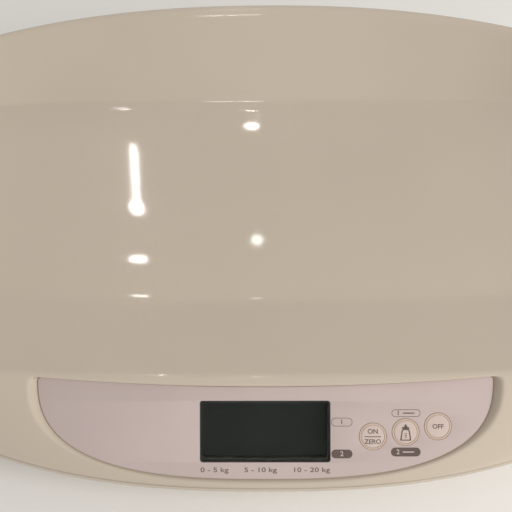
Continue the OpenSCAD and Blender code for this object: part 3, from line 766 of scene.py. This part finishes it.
def lift_to_dome(bm, at, step=0.8):
    """Cuts the flat marks into narrow strips, both ways, and then lifts each vertex by the dome's height."""
    for axis in (Vector((1, 0, 0)), Vector((0, 1, 0))):
        for k in range(-7, 8):
            line = (Vector((at[0], at[1], 0)) + axis * (k * step)) * MM
            everything = bm.verts[:] + bm.edges[:] + bm.faces[:]
            bmesh.ops.bisect_plane(bm, geom=everything, plane_co=line, plane_no=axis)
    for v in bm.verts:
        r = math.hypot(v.co.x / MM - at[0], v.co.y / MM - at[1])
        v.co.z += dome_height(min(r, CAP_R)) * MM


legends = {"key_on_zero": [("ON", 3.5, (0, 2.7)), ("ZERO", 3.4, (0, -2.7))],
           "key_off": [("OFF", 3.4, (0, 0))], "key_feed": []}
for name, words in legends.items():
    at = KEYS[name]
    bm = bmesh.new()
    for text, size, offset in words:
        add_text(bm, text, size, (at[0] + offset[0], at[1] + offset[1]), *INK, bold=0.05)
    if name == "key_on_zero":
        add_flat(bm, [rounded_rectangle((8.8, 0.4), 0.18, at, steps=2)], *INK)
    if name == "key_feed":
        for loops in bottle((at[0], at[1] - 0.1)):
            add_flat(bm, loops, *INK)
        for k in range(3):
            line_at = (at[0], at[1] - 0.7 - 0.9 * k)
            add_flat(bm, [rounded_rectangle((1.3, 0.36), 0.16, line_at, steps=2)], *INK)
    lift_to_dome(bm, at)
    mark = finish_piece(bm, name + "_legend", body=name, turn=PANEL)

# %% [markdown]
# ## The lower cover and the door
#
# The cover's own solid already has its smooth curved wall, its screw wells and the bay. Its mesh is
# loose triangles, so a copy is merged and shaded smoothly, with hard edges only where faces meet at
# a clear angle. The battery door gets small rounded edges in the same way.

# %% Copies of solids, merged and smoothed
def merged_copy(node, name, smooth=30, round_off=0.0):
    bm = bmesh.new()
    bm.from_mesh(frame["nodes"][node].data)
    bmesh.ops.remove_doubles(bm, verts=bm.verts, dist=2e-6)
    bmesh.ops.dissolve_degenerate(bm, edges=bm.edges, dist=1e-6)
    if round_off:
        bmesh.ops.dissolve_limit(bm, angle_limit=math.radians(0.5), verts=bm.verts, edges=bm.edges)
    piece = finish_piece(bm, name, body=frame["nodes"][node]["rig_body"], smooth=smooth)
    if round_off:
        soft = piece.modifiers.new("soft_edges", "BEVEL")
        soft.width, soft.segments = round_off * MM, 2
        soft.limit_method, soft.angle_limit = "ANGLE", math.radians(40)
    even = piece.modifiers.new("even_shading", "WEIGHTED_NORMAL")
    even.keep_sharp, even.weight = True, 100
    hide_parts(node)


merged_copy("bottom_cover", "lower_cover", smooth=28)
merged_copy("battery_door", "battery_bay_door", smooth=30, round_off=0.3)

# %% [markdown]
# ## Feet
#
# Each foot is a turned disc with a rubber pad under it. The pad has three fine ring grooves, which
# grip a smooth table. Both are spun from a profile.

# %% Turn the four feet and their pads
FOOT_SPOTS = [(-145, -78), (-145, 78), (145, -78), (145, 78)]
disc = [(0, 2.4), (15.1, 2.4), (15.1, 1.2), (16.6, 1.2), (17.2, 1.4), (17.7, 1.9), (18, 2.7),
        (18, 4.6), (17.7, 5.1), (16.9, 5.8), (16.2, 6), (6.3, 6), (6, 6.3), (6, 12.8),
        (7.5, 12.8), (7.5, 13.4), (6, 14.4), (6, 15), (0, 15)]
pad = [(0, 0), (4, 0), (4.2, 0.5), (5, 0.5), (5.2, 0), (8.2, 0), (8.4, 0.5), (9.2, 0.5), (9.4, 0),
       (12, 0), (12.2, 0.5), (13, 0.5), (13.2, 0), (14.4, 0), (14.8, 0.2), (15, 0.6), (15, 2.4), (0, 2.4)]
foot_parts = [("foot_disc", disc, "grey_plastic", "foot"), ("foot_grip", pad, "foot_rubber", "foot_pad")]
for k, at in enumerate(FOOT_SPOTS, 1):
    for label, profile, slot_name, node in foot_parts:
        bm = bmesh.new()
        add_spin(bm, profile, at, steps=72)
        bmesh.ops.recalc_face_normals(bm, faces=bm.faces)
        piece = finish_piece(bm, f"{label}_{k}", smooth=30)
        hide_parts(f"{node}_{k}")

# %% [markdown]
# ## Finishes
#
# A plastic part is never one even value: its gloss is broken by fine wiping marks, its colour drifts
# a little, and its surface has the texture of the mould. Each finish here is a small tree of nodes on
# Object coordinates, so its grain has a real size in metres and stays put when a part moves. What is
# the same all over is set on the shader itself, and only what changes comes from a node.

# %% Helpers for node trees
def srgb(red, green, blue):
    """A colour as a picture shows it, turned into the linear values that a shader wants."""
    def linear(c):
        return ((c / 255 + 0.055) / 1.055) ** 2.4 if c > 10 else c / 255 / 12.92
    return linear(red), linear(green), linear(blue), 1.0


def new_finish(name, colour, roughness, **shader_values):
    material = bpy.data.materials.new(name)
    material.use_nodes = True
    material.diffuse_color = srgb(*colour)
    shader = material.node_tree.nodes["Principled BSDF"]
    shader.inputs["Base Color"].default_value = srgb(*colour)
    shader.inputs["Roughness"].default_value = roughness
    for socket, value in shader_values.items():
        shader.inputs[socket.replace("_", " ")].default_value = value
    return material


def add_node(material, kind, links=None, **settings):
    made = material.node_tree.nodes.new(kind)
    for key, value in settings.items():
        if key in made.inputs:
            made.inputs[key].default_value = value
        else:
            setattr(made, key, value)
    for socket, source in (links or {}).items():
        material.node_tree.links.new(source, made.inputs[socket])
    return made


def wire(material, source, socket):
    material.node_tree.links.new(source, material.node_tree.nodes["Principled BSDF"].inputs[socket])


def place_on(material, stretch=(1, 1, 1), shift=(0, 0, 0), turn=(0, 0, 0)):
    """Object coordinates in metres, stretched, turned or moved by a Mapping node."""
    coords = add_node(material, "ShaderNodeTexCoord")
    mapping = add_node(material, "ShaderNodeMapping", {"Vector": coords.outputs["Object"]})
    mapping.inputs["Scale"].default_value = stretch
    mapping.inputs["Location"].default_value = shift
    mapping.inputs["Rotation"].default_value = turn
    return mapping.outputs["Vector"]


def noise(material, scale, detail=2.0, stretch=(1, 1, 1), rough=0.5):
    place = place_on(material, stretch)
    made = add_node(material, "ShaderNodeTexNoise", {"Vector": place}, Scale=scale, Detail=detail)
    made.inputs["Roughness"].default_value = rough
    return made.outputs["Fac"]


def between(material, factor, low, high, start=0.35, end=0.65):
    """A value that drifts from low to high as the factor goes from start to end."""
    made = add_node(material, "ShaderNodeMapRange", {"Value": factor})
    for socket, value in (("From Min", start), ("From Max", end), ("To Min", low), ("To Max", high)):
        made.inputs[socket].default_value = value
    return made.outputs["Result"]


def tint(material, factor, stops, blend="LINEAR"):
    """A colour that follows the factor; stops lists (position, colour)."""
    ramp = add_node(material, "ShaderNodeValToRGB", {"Fac": factor})
    ramp.color_ramp.interpolation = blend
    while len(ramp.color_ramp.elements) < len(stops):
        ramp.color_ramp.elements.new(0.5)
    for element, (position, colour) in zip(ramp.color_ramp.elements, stops):
        element.position, element.color = position, srgb(*colour)
    return ramp.outputs["Color"]


def emboss(material, height, depth_mm, strength=1.0, after=None):
    """Relief of a real depth, in millimetres."""
    links = {"Height": height}
    if after is not None:
        links["Normal"] = after
    made = add_node(material, "ShaderNodeBump", links, Strength=strength, Distance=depth_mm * MM)
    return made.outputs["Normal"]

# %% [markdown]
# ### The glossy ivory of the tray
#
# The tray is polished plastic. Lamps show in it with crisp edges and a faint haze round them, which
# is what thousands of wiping marks do. A sharp clear coat over a blurrier base gives both at once.
# The marks run along the tray, the way a cloth goes, so their noise is stretched along x.

# %% Tray finish
def tray_finish():
    m = new_finish("ivory_gloss", (192, 179, 162), 0.45, IOR=1.45, Coat_Weight=0.8, Coat_Roughness=0.05,
                   Coat_IOR=1.5)
    drift = noise(m, 7.0, detail=3)
    wire(m, tint(m, drift, [(0.3, (190, 177, 160)), (0.7, (194, 181, 164))]), "Base Color")
    wiping = noise(m, 55.0, detail=6, stretch=(0.16, 1, 1), rough=0.7)
    wire(m, between(m, wiping, 0.4, 0.5), "Roughness")
    scuffs = noise(m, 420.0, detail=4, stretch=(0.1, 1, 1), rough=0.75)
    wire(m, between(m, scuffs, 0.05, 0.11, 0.64, 0.76), "Coat Roughness")
    skin = noise(m, 260.0, detail=2)
    wire(m, emboss(m, skin, 0.002, 0.3), "Normal")
    return m

# %% [markdown]
# ### The spark-eroded ivory of the lower cover
#
# Covers that nobody looks into are left with the fine grain of a spark-eroded mould. Two noises of
# different size, about 1 mm and 0.3 mm, make that grain.

# %% Cover finish
def cover_finish():
    m = new_finish("ivory_matte", (192, 179, 163), 0.55, IOR=1.5)
    drift = noise(m, 9.0, detail=3)
    wire(m, tint(m, drift, [(0.3, (188, 175, 158)), (0.7, (195, 182, 166))]), "Base Color")
    coarse, fine = noise(m, 1100.0, detail=2), noise(m, 3200.0, detail=2)
    wire(m, between(m, coarse, 0.48, 0.62), "Roughness")
    wire(m, emboss(m, fine, 0.03, 0.6, after=emboss(m, coarse, 0.05, 0.5)), "Normal")
    return m

# %% [markdown]
# ### Panel film, keys and ink
#
# The panel is a hard sheet with a satin skin, a shade pinker than the tray. Its gloss has a very fine
# even grain. The keys are the same sheet pressed into domes, so they take the same finish a little
# glossier. Ink lies in a thin layer whose tone is slightly uneven, as screen printing leaves it.

# %% Film, key and ink finishes
def film_finish(name, colour, roughness, coat=0.0):
    m = new_finish(name, colour, roughness, IOR=1.5, Coat_Weight=coat, Coat_Roughness=0.18)
    soft = tuple(c - 3 for c in colour)
    wire(m, tint(m, noise(m, 30.0, detail=3), [(0.3, soft), (0.7, colour)]), "Base Color")
    grain = noise(m, 2600.0, detail=2)
    wire(m, between(m, grain, roughness - 0.04, roughness + 0.05), "Roughness")
    wire(m, emboss(m, grain, 0.008, 0.4), "Normal")
    return m


def ink_finish(name, dark, light):
    m = new_finish(name, dark, 0.5, IOR=1.5)
    wire(m, tint(m, noise(m, 1800.0, detail=3), [(0.35, dark), (0.7, light)]), "Base Color")
    wire(m, between(m, noise(m, 900.0), 0.45, 0.6), "Roughness")
    return m

# %% [markdown]
# ### The display
#
# The window is clear hard plastic. The cell behind it is a dark grey-green sheet with a
# faint drift in tone, and its resting digits are only a little darker.

# %% Display finishes
def window_finish():
    m = new_finish("lens_clear", (222, 226, 222), 0.05, IOR=1.14, Transmission_Weight=1.0)
    wire(m, between(m, noise(m, 160.0, detail=4, rough=0.7), 0.02, 0.08, 0.4, 0.7), "Roughness")
    return m


def cell_finish(name, low, high, roughness=0.22):
    m = new_finish(name, low, roughness, Specular_IOR_Level=0.1)
    wire(m, tint(m, noise(m, 45.0, detail=2), [(0.3, low), (0.7, high)]), "Base Color")
    wire(m, between(m, noise(m, 700.0), roughness - 0.04, roughness + 0.04), "Roughness")
    return m

# %% [markdown]
# ### Plastics, rubber and insulation inside and underneath
#
# The feet and carriers are a filled grey nylon with pale flow marks, the pads are dull rubber with
# dust in its pores, and the small electronic parts are epoxy. One function covers them: a tone that
# drifts, a grain of its own size, and a relief depth.

# %% Moulded finish
def moulded_finish(name, low, high, roughness, grain=1500.0, depth_mm=0.03, drift=25.0):
    m = new_finish(name, low, roughness, IOR=1.5)
    wire(m, tint(m, noise(m, drift, detail=4), [(0.35, low), (0.68, high)]), "Base Color")
    texture = noise(m, grain, detail=3)
    wire(m, between(m, texture, roughness - 0.07, roughness + 0.07), "Roughness")
    wire(m, emboss(m, texture, depth_mm, 0.5), "Normal")
    return m


def banded_finish(name, dark, light, bands_per_metre, along="X"):
    """Thin conducting layers between insulating ones, as in the strips under the display."""
    m = new_finish(name, light, 0.5, IOR=1.42)
    bands = add_node(m, "ShaderNodeTexWave", {"Vector": place_on(m)}, wave_type="BANDS",
                     bands_direction=along)
    bands.inputs["Scale"].default_value = bands_per_metre / math.tau * 2
    wire(m, tint(m, bands.outputs["Fac"], [(0.45, dark), (0.6, light)]), "Base Color")
    wire(m, between(m, noise(m, 1300.0), 0.42, 0.6), "Roughness")
    return m

# %% [markdown]
# ### Metals
#
# The load frame and cell plates are galvanised steel. Zinc sets in flat crystals, which look like
# patches of slightly different brightness, and a Voronoi pattern gives those. Contacts are bright
# nickel, and screws are plain steel with turning marks.

# %% Metal finishes
def zinc_finish():
    m = new_finish("galvanised_steel", (176, 178, 180), 0.34, Metallic=1.0)
    crystals = add_node(m, "ShaderNodeTexVoronoi", {"Vector": place_on(m)}, Scale=150.0)
    grey = add_node(m, "ShaderNodeSeparateColor", {"Color": crystals.outputs["Color"]})
    wire(m, tint(m, grey.outputs["Red"], [(0.0, (152, 155, 158)), (1.0, (192, 194, 196))]), "Base Color")
    wire(m, between(m, grey.outputs["Green"], 0.26, 0.46, 0, 1), "Roughness")
    wire(m, emboss(m, noise(m, 900.0, detail=4), 0.02, 0.3), "Normal")
    return m


def metal_finish(name, low, high, roughness, stretch=(1, 1, 1), scale=900.0):
    m = new_finish(name, high, roughness, Metallic=1.0)
    wire(m, tint(m, noise(m, 120.0, detail=3), [(0.3, low), (0.7, high)]), "Base Color")
    marks = noise(m, scale, detail=4, stretch=stretch)
    wire(m, between(m, marks, roughness - 0.08, roughness + 0.12), "Roughness")
    wire(m, emboss(m, marks, 0.01, 0.3), "Normal")
    return m

# %% [markdown]
# ### Circuit board and batteries
#
# Solder mask is a translucent green lacquer: over copper tracks it looks lighter than over bare
# board. A brick pattern drawn in thin lines stands for the tracks. A battery's jacket is a printed
# film with a plain band near its raised end, and bare metal at both ends, so its colour and its
# metallic value follow the distance along the cell. Half of the cells lie the other way round.

# %% Board and battery finishes
def board_finish():
    m = new_finish("board_green", (28, 84, 52), 0.35, IOR=1.5)
    tracks = add_node(m, "ShaderNodeTexBrick", {"Vector": place_on(m, stretch=(1, 1.19, 1))}, Scale=1.0)
    for socket, value in (("Mortar Size", 0.0004), ("Brick Width", 0.0095), ("Row Height", 0.0031),
                          ("Mortar Smooth", 0.1)):
        tracks.inputs[socket].default_value = value
    tracks.inputs["Color1"].default_value = srgb(24, 78, 47)
    tracks.inputs["Color2"].default_value = srgb(30, 86, 53)
    tracks.inputs["Mortar"].default_value = srgb(58, 126, 78)
    wire(m, tracks.outputs["Color"], "Base Color")
    wire(m, between(m, noise(m, 500.0), 0.28, 0.42), "Roughness")
    wire(m, emboss(m, tracks.outputs["Fac"], 0.03, 0.4), "Normal")
    return m


def battery_finish(name, raised_end_x, way):
    """way is 1 where the raised end points along +x, and -1 where it points the other way."""
    m = new_finish(name, (52, 62, 70), 0.3, IOR=1.5, Coat_Weight=0.3, Coat_Roughness=0.12)
    length = 50.5 * MM
    at = place_on(m, stretch=(way / length, 1, 1), shift=(1 - way * raised_end_x * MM / length, 0, 0))
    along = add_node(m, "ShaderNodeSeparateXYZ", {"Vector": at}).outputs["X"]
    stops = [(0.0, (196, 196, 192)), (0.018, (44, 50, 58)), (0.66, (52, 60, 68)), (0.68, (188, 132, 84)),
             (0.94, (196, 140, 90)), (0.955, (200, 200, 196))]
    wire(m, tint(m, along, stops, blend="CONSTANT"), "Base Color")
    middle = add_node(m, "ShaderNodeMath", {0: along}, operation="SUBTRACT")
    middle.inputs[1].default_value = 0.4865
    apart = add_node(m, "ShaderNodeMath", {0: middle.outputs[0]}, operation="ABSOLUTE")
    wire(m, between(m, apart.outputs[0], 0.0, 1.0, 0.467, 0.469), "Metallic")
    wire(m, between(m, noise(m, 400.0), 0.24, 0.4), "Roughness")
    return m

# %% [markdown]
# ## Giving every piece its finish
#
# The new pieces get their finish by name. Each solid that still shows, mostly inside and underneath,
# gets one in its own material slot. The last line counts what is left without one.

# %% Make the finishes and give them out
gloss, cover_grain = tray_finish(), cover_finish()
panel_film = film_finish("panel_blush", (190, 174, 170), 0.36)
key_film = film_finish("key_blush", (201, 184, 175), 0.32, coat=0.25)
key_ring = film_finish("key_ring", (200, 178, 160), 0.5)
ink = ink_finish("brown_ink", (86, 72, 68), (104, 90, 84))
pale_ink = ink_finish("pale_ink", (190, 174, 168), (198, 182, 176))
border_ink = ink_finish("border_ink", (20, 22, 21), (26, 28, 27))
window_clear = window_finish()
cell_dark = cell_finish("lcd_dark", (36, 40, 37), (40, 44, 41))
segment_dark = cell_finish("lcd_segments", (34, 38, 35), (38, 42, 39))
grey_nylon = moulded_finish("grey_plastic", (118, 120, 121), (132, 134, 135), 0.5)
black_epoxy = moulded_finish("black_plastic", (34, 35, 37), (46, 47, 49), 0.45, grain=2200.0, depth_mm=0.02)
pad_rubber = moulded_finish("foot_rubber", (54, 54, 55), (78, 77, 75), 0.82, grain=1200.0, depth_mm=0.08,
                            drift=260.0)
grey_lead = moulded_finish("lead_grey", (112, 114, 118), (124, 126, 130), 0.4, grain=800.0, depth_mm=0.01)
red_lead = moulded_finish("lead_red", (166, 38, 34), (182, 48, 42), 0.4, grain=800.0, depth_mm=0.01)
strip_bands = banded_finish("silicone_pink", (58, 46, 48), (214, 150, 154), 1600.0)
zinc = zinc_finish()
turned_steel = metal_finish("steel", (168, 168, 168), (190, 190, 188), 0.3)
nickel = metal_finish("nickel", (196, 192, 182), (214, 210, 200), 0.2, stretch=(0.3, 1, 1))
mask_green = board_finish()
RAISED_END_X = 28.1
batteries = {}
for k in range(1, 5):
    way = 1 if k % 2 else -1
    batteries[f"battery_{k}"] = battery_finish(f"battery_jacket_{k}", way * RAISED_END_X, way)

piece_finish = {
    "tray": gloss, "panel_sheet": panel_film, "display_window": window_clear, "display_border": border_ink,
    "resting_digits": segment_dark, "panel_print": ink, "panel_print_light": pale_ink,
    "lower_cover": cover_grain, "battery_bay_door": cover_grain,
}
for name in KEYS:
    piece_finish.update({name + "_cap": key_film, name + "_ring": key_ring, name + "_legend": ink})
for k in range(1, 5):
    piece_finish.update({f"foot_disc_{k}": grey_nylon, f"foot_grip_{k}": pad_rubber})
for name, material in piece_finish.items():
    bpy.data.objects[name].data.materials.clear()
    bpy.data.objects[name].data.materials.append(material)

slot_finish = {
    "ivory_gloss": gloss, "ivory_matte": cover_grain, "panel_blush": panel_film, "key_blush": key_film,
    "lens_clear": window_clear, "lcd_dark": cell_dark, "grey_plastic": grey_nylon,
    "black_plastic": black_epoxy, "silicone_pink": strip_bands, "board_green": mask_green,
    "steel": turned_steel, "nickel": nickel, "foot_rubber": pad_rubber,
    "lead_grey": grey_lead, "lead_red": red_lead,
}
galvanised = ["load_frame"] + [f"load_cell_{k}" for k in range(1, 5)]
for name, node in frame["nodes"].items():
    for slot_used in node.material_slots:
        own = slot_used.material.name if slot_used.material else ""
        if name in galvanised:
            slot_used.material = zinc
        elif name in batteries:
            slot_used.material = batteries[name]
        else:
            slot_used.material = slot_finish[own.split(".")[0]]
left = [o.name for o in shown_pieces() if not o.material_slots or not o.material_slots[0].material.use_nodes]
print("finishes given;", len(left), "pieces without one")

# %% [markdown]
# ## Floor, light and camera
#
# The floor is pale and plain. Light from all round, with three large soft lamps of which the strongest
# is over the right shoulder, shows each colour about as it is written. The polished tray also mirrors
# the lamps of a room, and those small bright spots tell the eye how smooth it is. Each little lamp is
# put where a ray from the camera goes after it bounces off the tray at a chosen point of the picture.

# %% Camera
PICTURE = 512
FOCAL_PX = 540.4


def look(pitch, yaw, roll):
    """The camera's three axes from its pitch below the horizon, its yaw and its roll, in degrees."""
    p, w, r = (math.radians(a) for a in (pitch, yaw, roll))
    ahead = Vector((math.sin(w) * math.cos(p), math.cos(w) * math.cos(p), -math.sin(p)))
    right = Vector((math.cos(w), -math.sin(w), 0))
    up = right.cross(ahead)
    return math.cos(r) * right + math.sin(r) * up, -math.sin(r) * right + math.cos(r) * up, ahead


right, up, ahead = look(57.39, -0.86, -0.94)
eye = Vector((-2.07, -220.6, 334.43)) * MM
lens_data = bpy.data.cameras.new("camera")
lens_data.lens, lens_data.sensor_width = FOCAL_PX / PICTURE * 36, 36
lens_data.clip_start, lens_data.clip_end = 0.01, 20
camera = bpy.data.objects.new("camera", lens_data)
bpy.context.scene.collection.objects.link(camera)
camera.matrix_world = Matrix.Translation(eye) @ Matrix((right, up, -ahead)).transposed().to_4x4()
bpy.context.scene.camera = camera
print("lens:", round(lens_data.lens, 2), "mm")

# %% Floor and sky
bm = bmesh.new()
bmesh.ops.create_grid(bm, x_segments=2, y_segments=2, size=6.0)
bmesh.ops.translate(bm, verts=bm.verts, vec=(0, 0, -0.1 * MM))
floor_mesh = bpy.data.meshes.new("floor")
bm.to_mesh(floor_mesh)
bm.free()
floor = bpy.data.objects.new("floor", floor_mesh)
bpy.context.scene.collection.objects.link(floor)
paper = new_finish("floor_paper", (236, 234, 230), 0.9)
paper_tone = tint(paper, noise(paper, 3.0, detail=3), [(0.3, (234, 232, 228)), (0.7, (238, 236, 232))])
wire(paper, paper_tone, "Base Color")
floor_mesh.materials.append(paper)
floor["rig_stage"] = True

world = bpy.context.scene.world or bpy.data.worlds.new("sky")
bpy.context.scene.world = world
world.use_nodes = True
sky = world.node_tree
SKY_LEVEL = 0.46
background = sky.nodes["Background"]
background.inputs["Color"].default_value = (1.0, 0.985, 0.96, 1)
background.inputs["Strength"].default_value = SKY_LEVEL
backdrop = sky.nodes.new("ShaderNodeBackground")
backdrop.inputs["Color"].default_value = srgb(206, 204, 200)
ray = sky.nodes.new("ShaderNodeLightPath")
choose = sky.nodes.new("ShaderNodeMixShader")
seen = ray.outputs["Is Camera Ray"]
for kind in ("Is Glossy Ray", "Is Transmission Ray"):
    either = sky.nodes.new("ShaderNodeMath")
    either.operation = "MAXIMUM"
    sky.links.new(seen, either.inputs[0])
    sky.links.new(ray.outputs[kind], either.inputs[1])
    seen = either.outputs[0]
sky.links.new(seen, choose.inputs[0])
sky.links.new(background.outputs[0], choose.inputs[1])
sky.links.new(backdrop.outputs[0], choose.inputs[2])
sky.links.new(choose.outputs[0], sky.nodes["World Output"].inputs["Surface"])

# %% Lamps
def aim(thing, at, target):
    thing.location = at
    thing.rotation_euler = (target - at).to_track_quat("-Z", "Y").to_euler()


def soft_lamp(name, at, target, size, watts, colour=(1, 1, 1), shape="DISK", in_gloss=True):
    data = bpy.data.lights.new(name, "AREA")
    data.shape, data.size, data.size_y, data.energy, data.color = shape, size[0], size[1], watts, colour
    lamp = bpy.data.objects.new(name, data)
    bpy.context.scene.collection.objects.link(lamp)
    aim(lamp, at, target)
    lamp.visible_glossy = in_gloss
    return lamp


middle = Vector((0, 0, 0.06))
for name, at, size, watts in [("key", (0.95, -0.55, 0.8), 0.8, 12.0), ("fill", (0.2, -1.1, 0.6), 0.7, 1.7),
                              ("back", (-0.5, 1.3, 1.2), 1.0, 4.3)]:
    soft_lamp(name, Vector(at), middle, (size, size), watts, (1.0, 0.975, 0.96), "SQUARE", in_gloss=False)

REACH = 1.3


def on_tray(x, y):
    """Where the bare cradle shows in the picture at a pixel."""
    ray_out = right * (x - PICTURE / 2) + up * (PICTURE / 2 - y) + ahead * FOCAL_PX
    return surface.ray_cast(eye, ray_out.normalized())[0]


def mirrored(pixel, step=12):
    """Where a ray from the camera ends up after it bounces off the tray at that point of the picture."""
    x, y = pixel
    hit = on_tray(x, y)
    across, upwards = on_tray(x + step, y) - on_tray(x - step, y), on_tray(x, y - step) - on_tray(x, y + step)
    normal, ray_out = across.cross(upwards).normalized(), (hit - eye).normalized()
    return hit + (ray_out - 2 * ray_out.dot(normal) * normal) * REACH, hit


BEAM = math.radians(5)


def glint(name, path, size, brightness, colour=(1, 1, 0.98)):
    """A little lamp whose narrow beam reaches only the spot where it should show."""
    at, hit = path
    watts = brightness * math.pi / 4 * size[0] * size[1] * math.pi * math.tan(BEAM / 2) ** 2
    soft_lamp("glint_" + name, at, hit, size, watts, colour, "ELLIPSE").data.spread = BEAM


GLINT_PX = {"low": (139, 260), "back": (252, 126), "end": (138, 208), "crease": (234, 101), "rim": (236, 15),
            "crest_left": (158, 375), "crest_middle": (258, 377), "middle": (257, 240),
            "streak_top": (135, 150)}
STREAK_LAMPS = 6

for name, step, size, brightness in [
        ("low", 12, (0.036, 0.012), 30), ("back", 6, (0.034, 0.012), 30), ("end", 12, (0.022, 0.034), 34),
        ("crease", 3, (0.16, 0.02), 40), ("rim", 3, (0.1, 0.01), 30), ("crest_left", 2, (0.03, 0.12), 32),
        ("crest_middle", 2, (0.03, 0.12), 18)]:
    glint(name, mirrored(GLINT_PX[name], step), size, brightness)
glint("middle", mirrored(GLINT_PX["middle"]), (0.026, 0.034), 9, (0.9, 1, 0.93))
top, low = mirrored(GLINT_PX["streak_top"]), mirrored(GLINT_PX["end"])
for k in range(STREAK_LAMPS):
    glint(f"streak_{k}", [a.lerp(b, k / STREAK_LAMPS) for a, b in zip(top, low)], (0.013, 0.044), 11)

# %% View, sizes and the end
view = bpy.context.scene.view_settings
view.view_transform = "Standard"
seen_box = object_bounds()
for label, (low_corner, high_corner) in (("CAD", cad_box), ("visual", seen_box)):
    low_mm, high_mm = ([round(c / MM, 1) for c in corner] for corner in (low_corner, high_corner))
    print(label, "box in mm:", low_mm, high_mm)
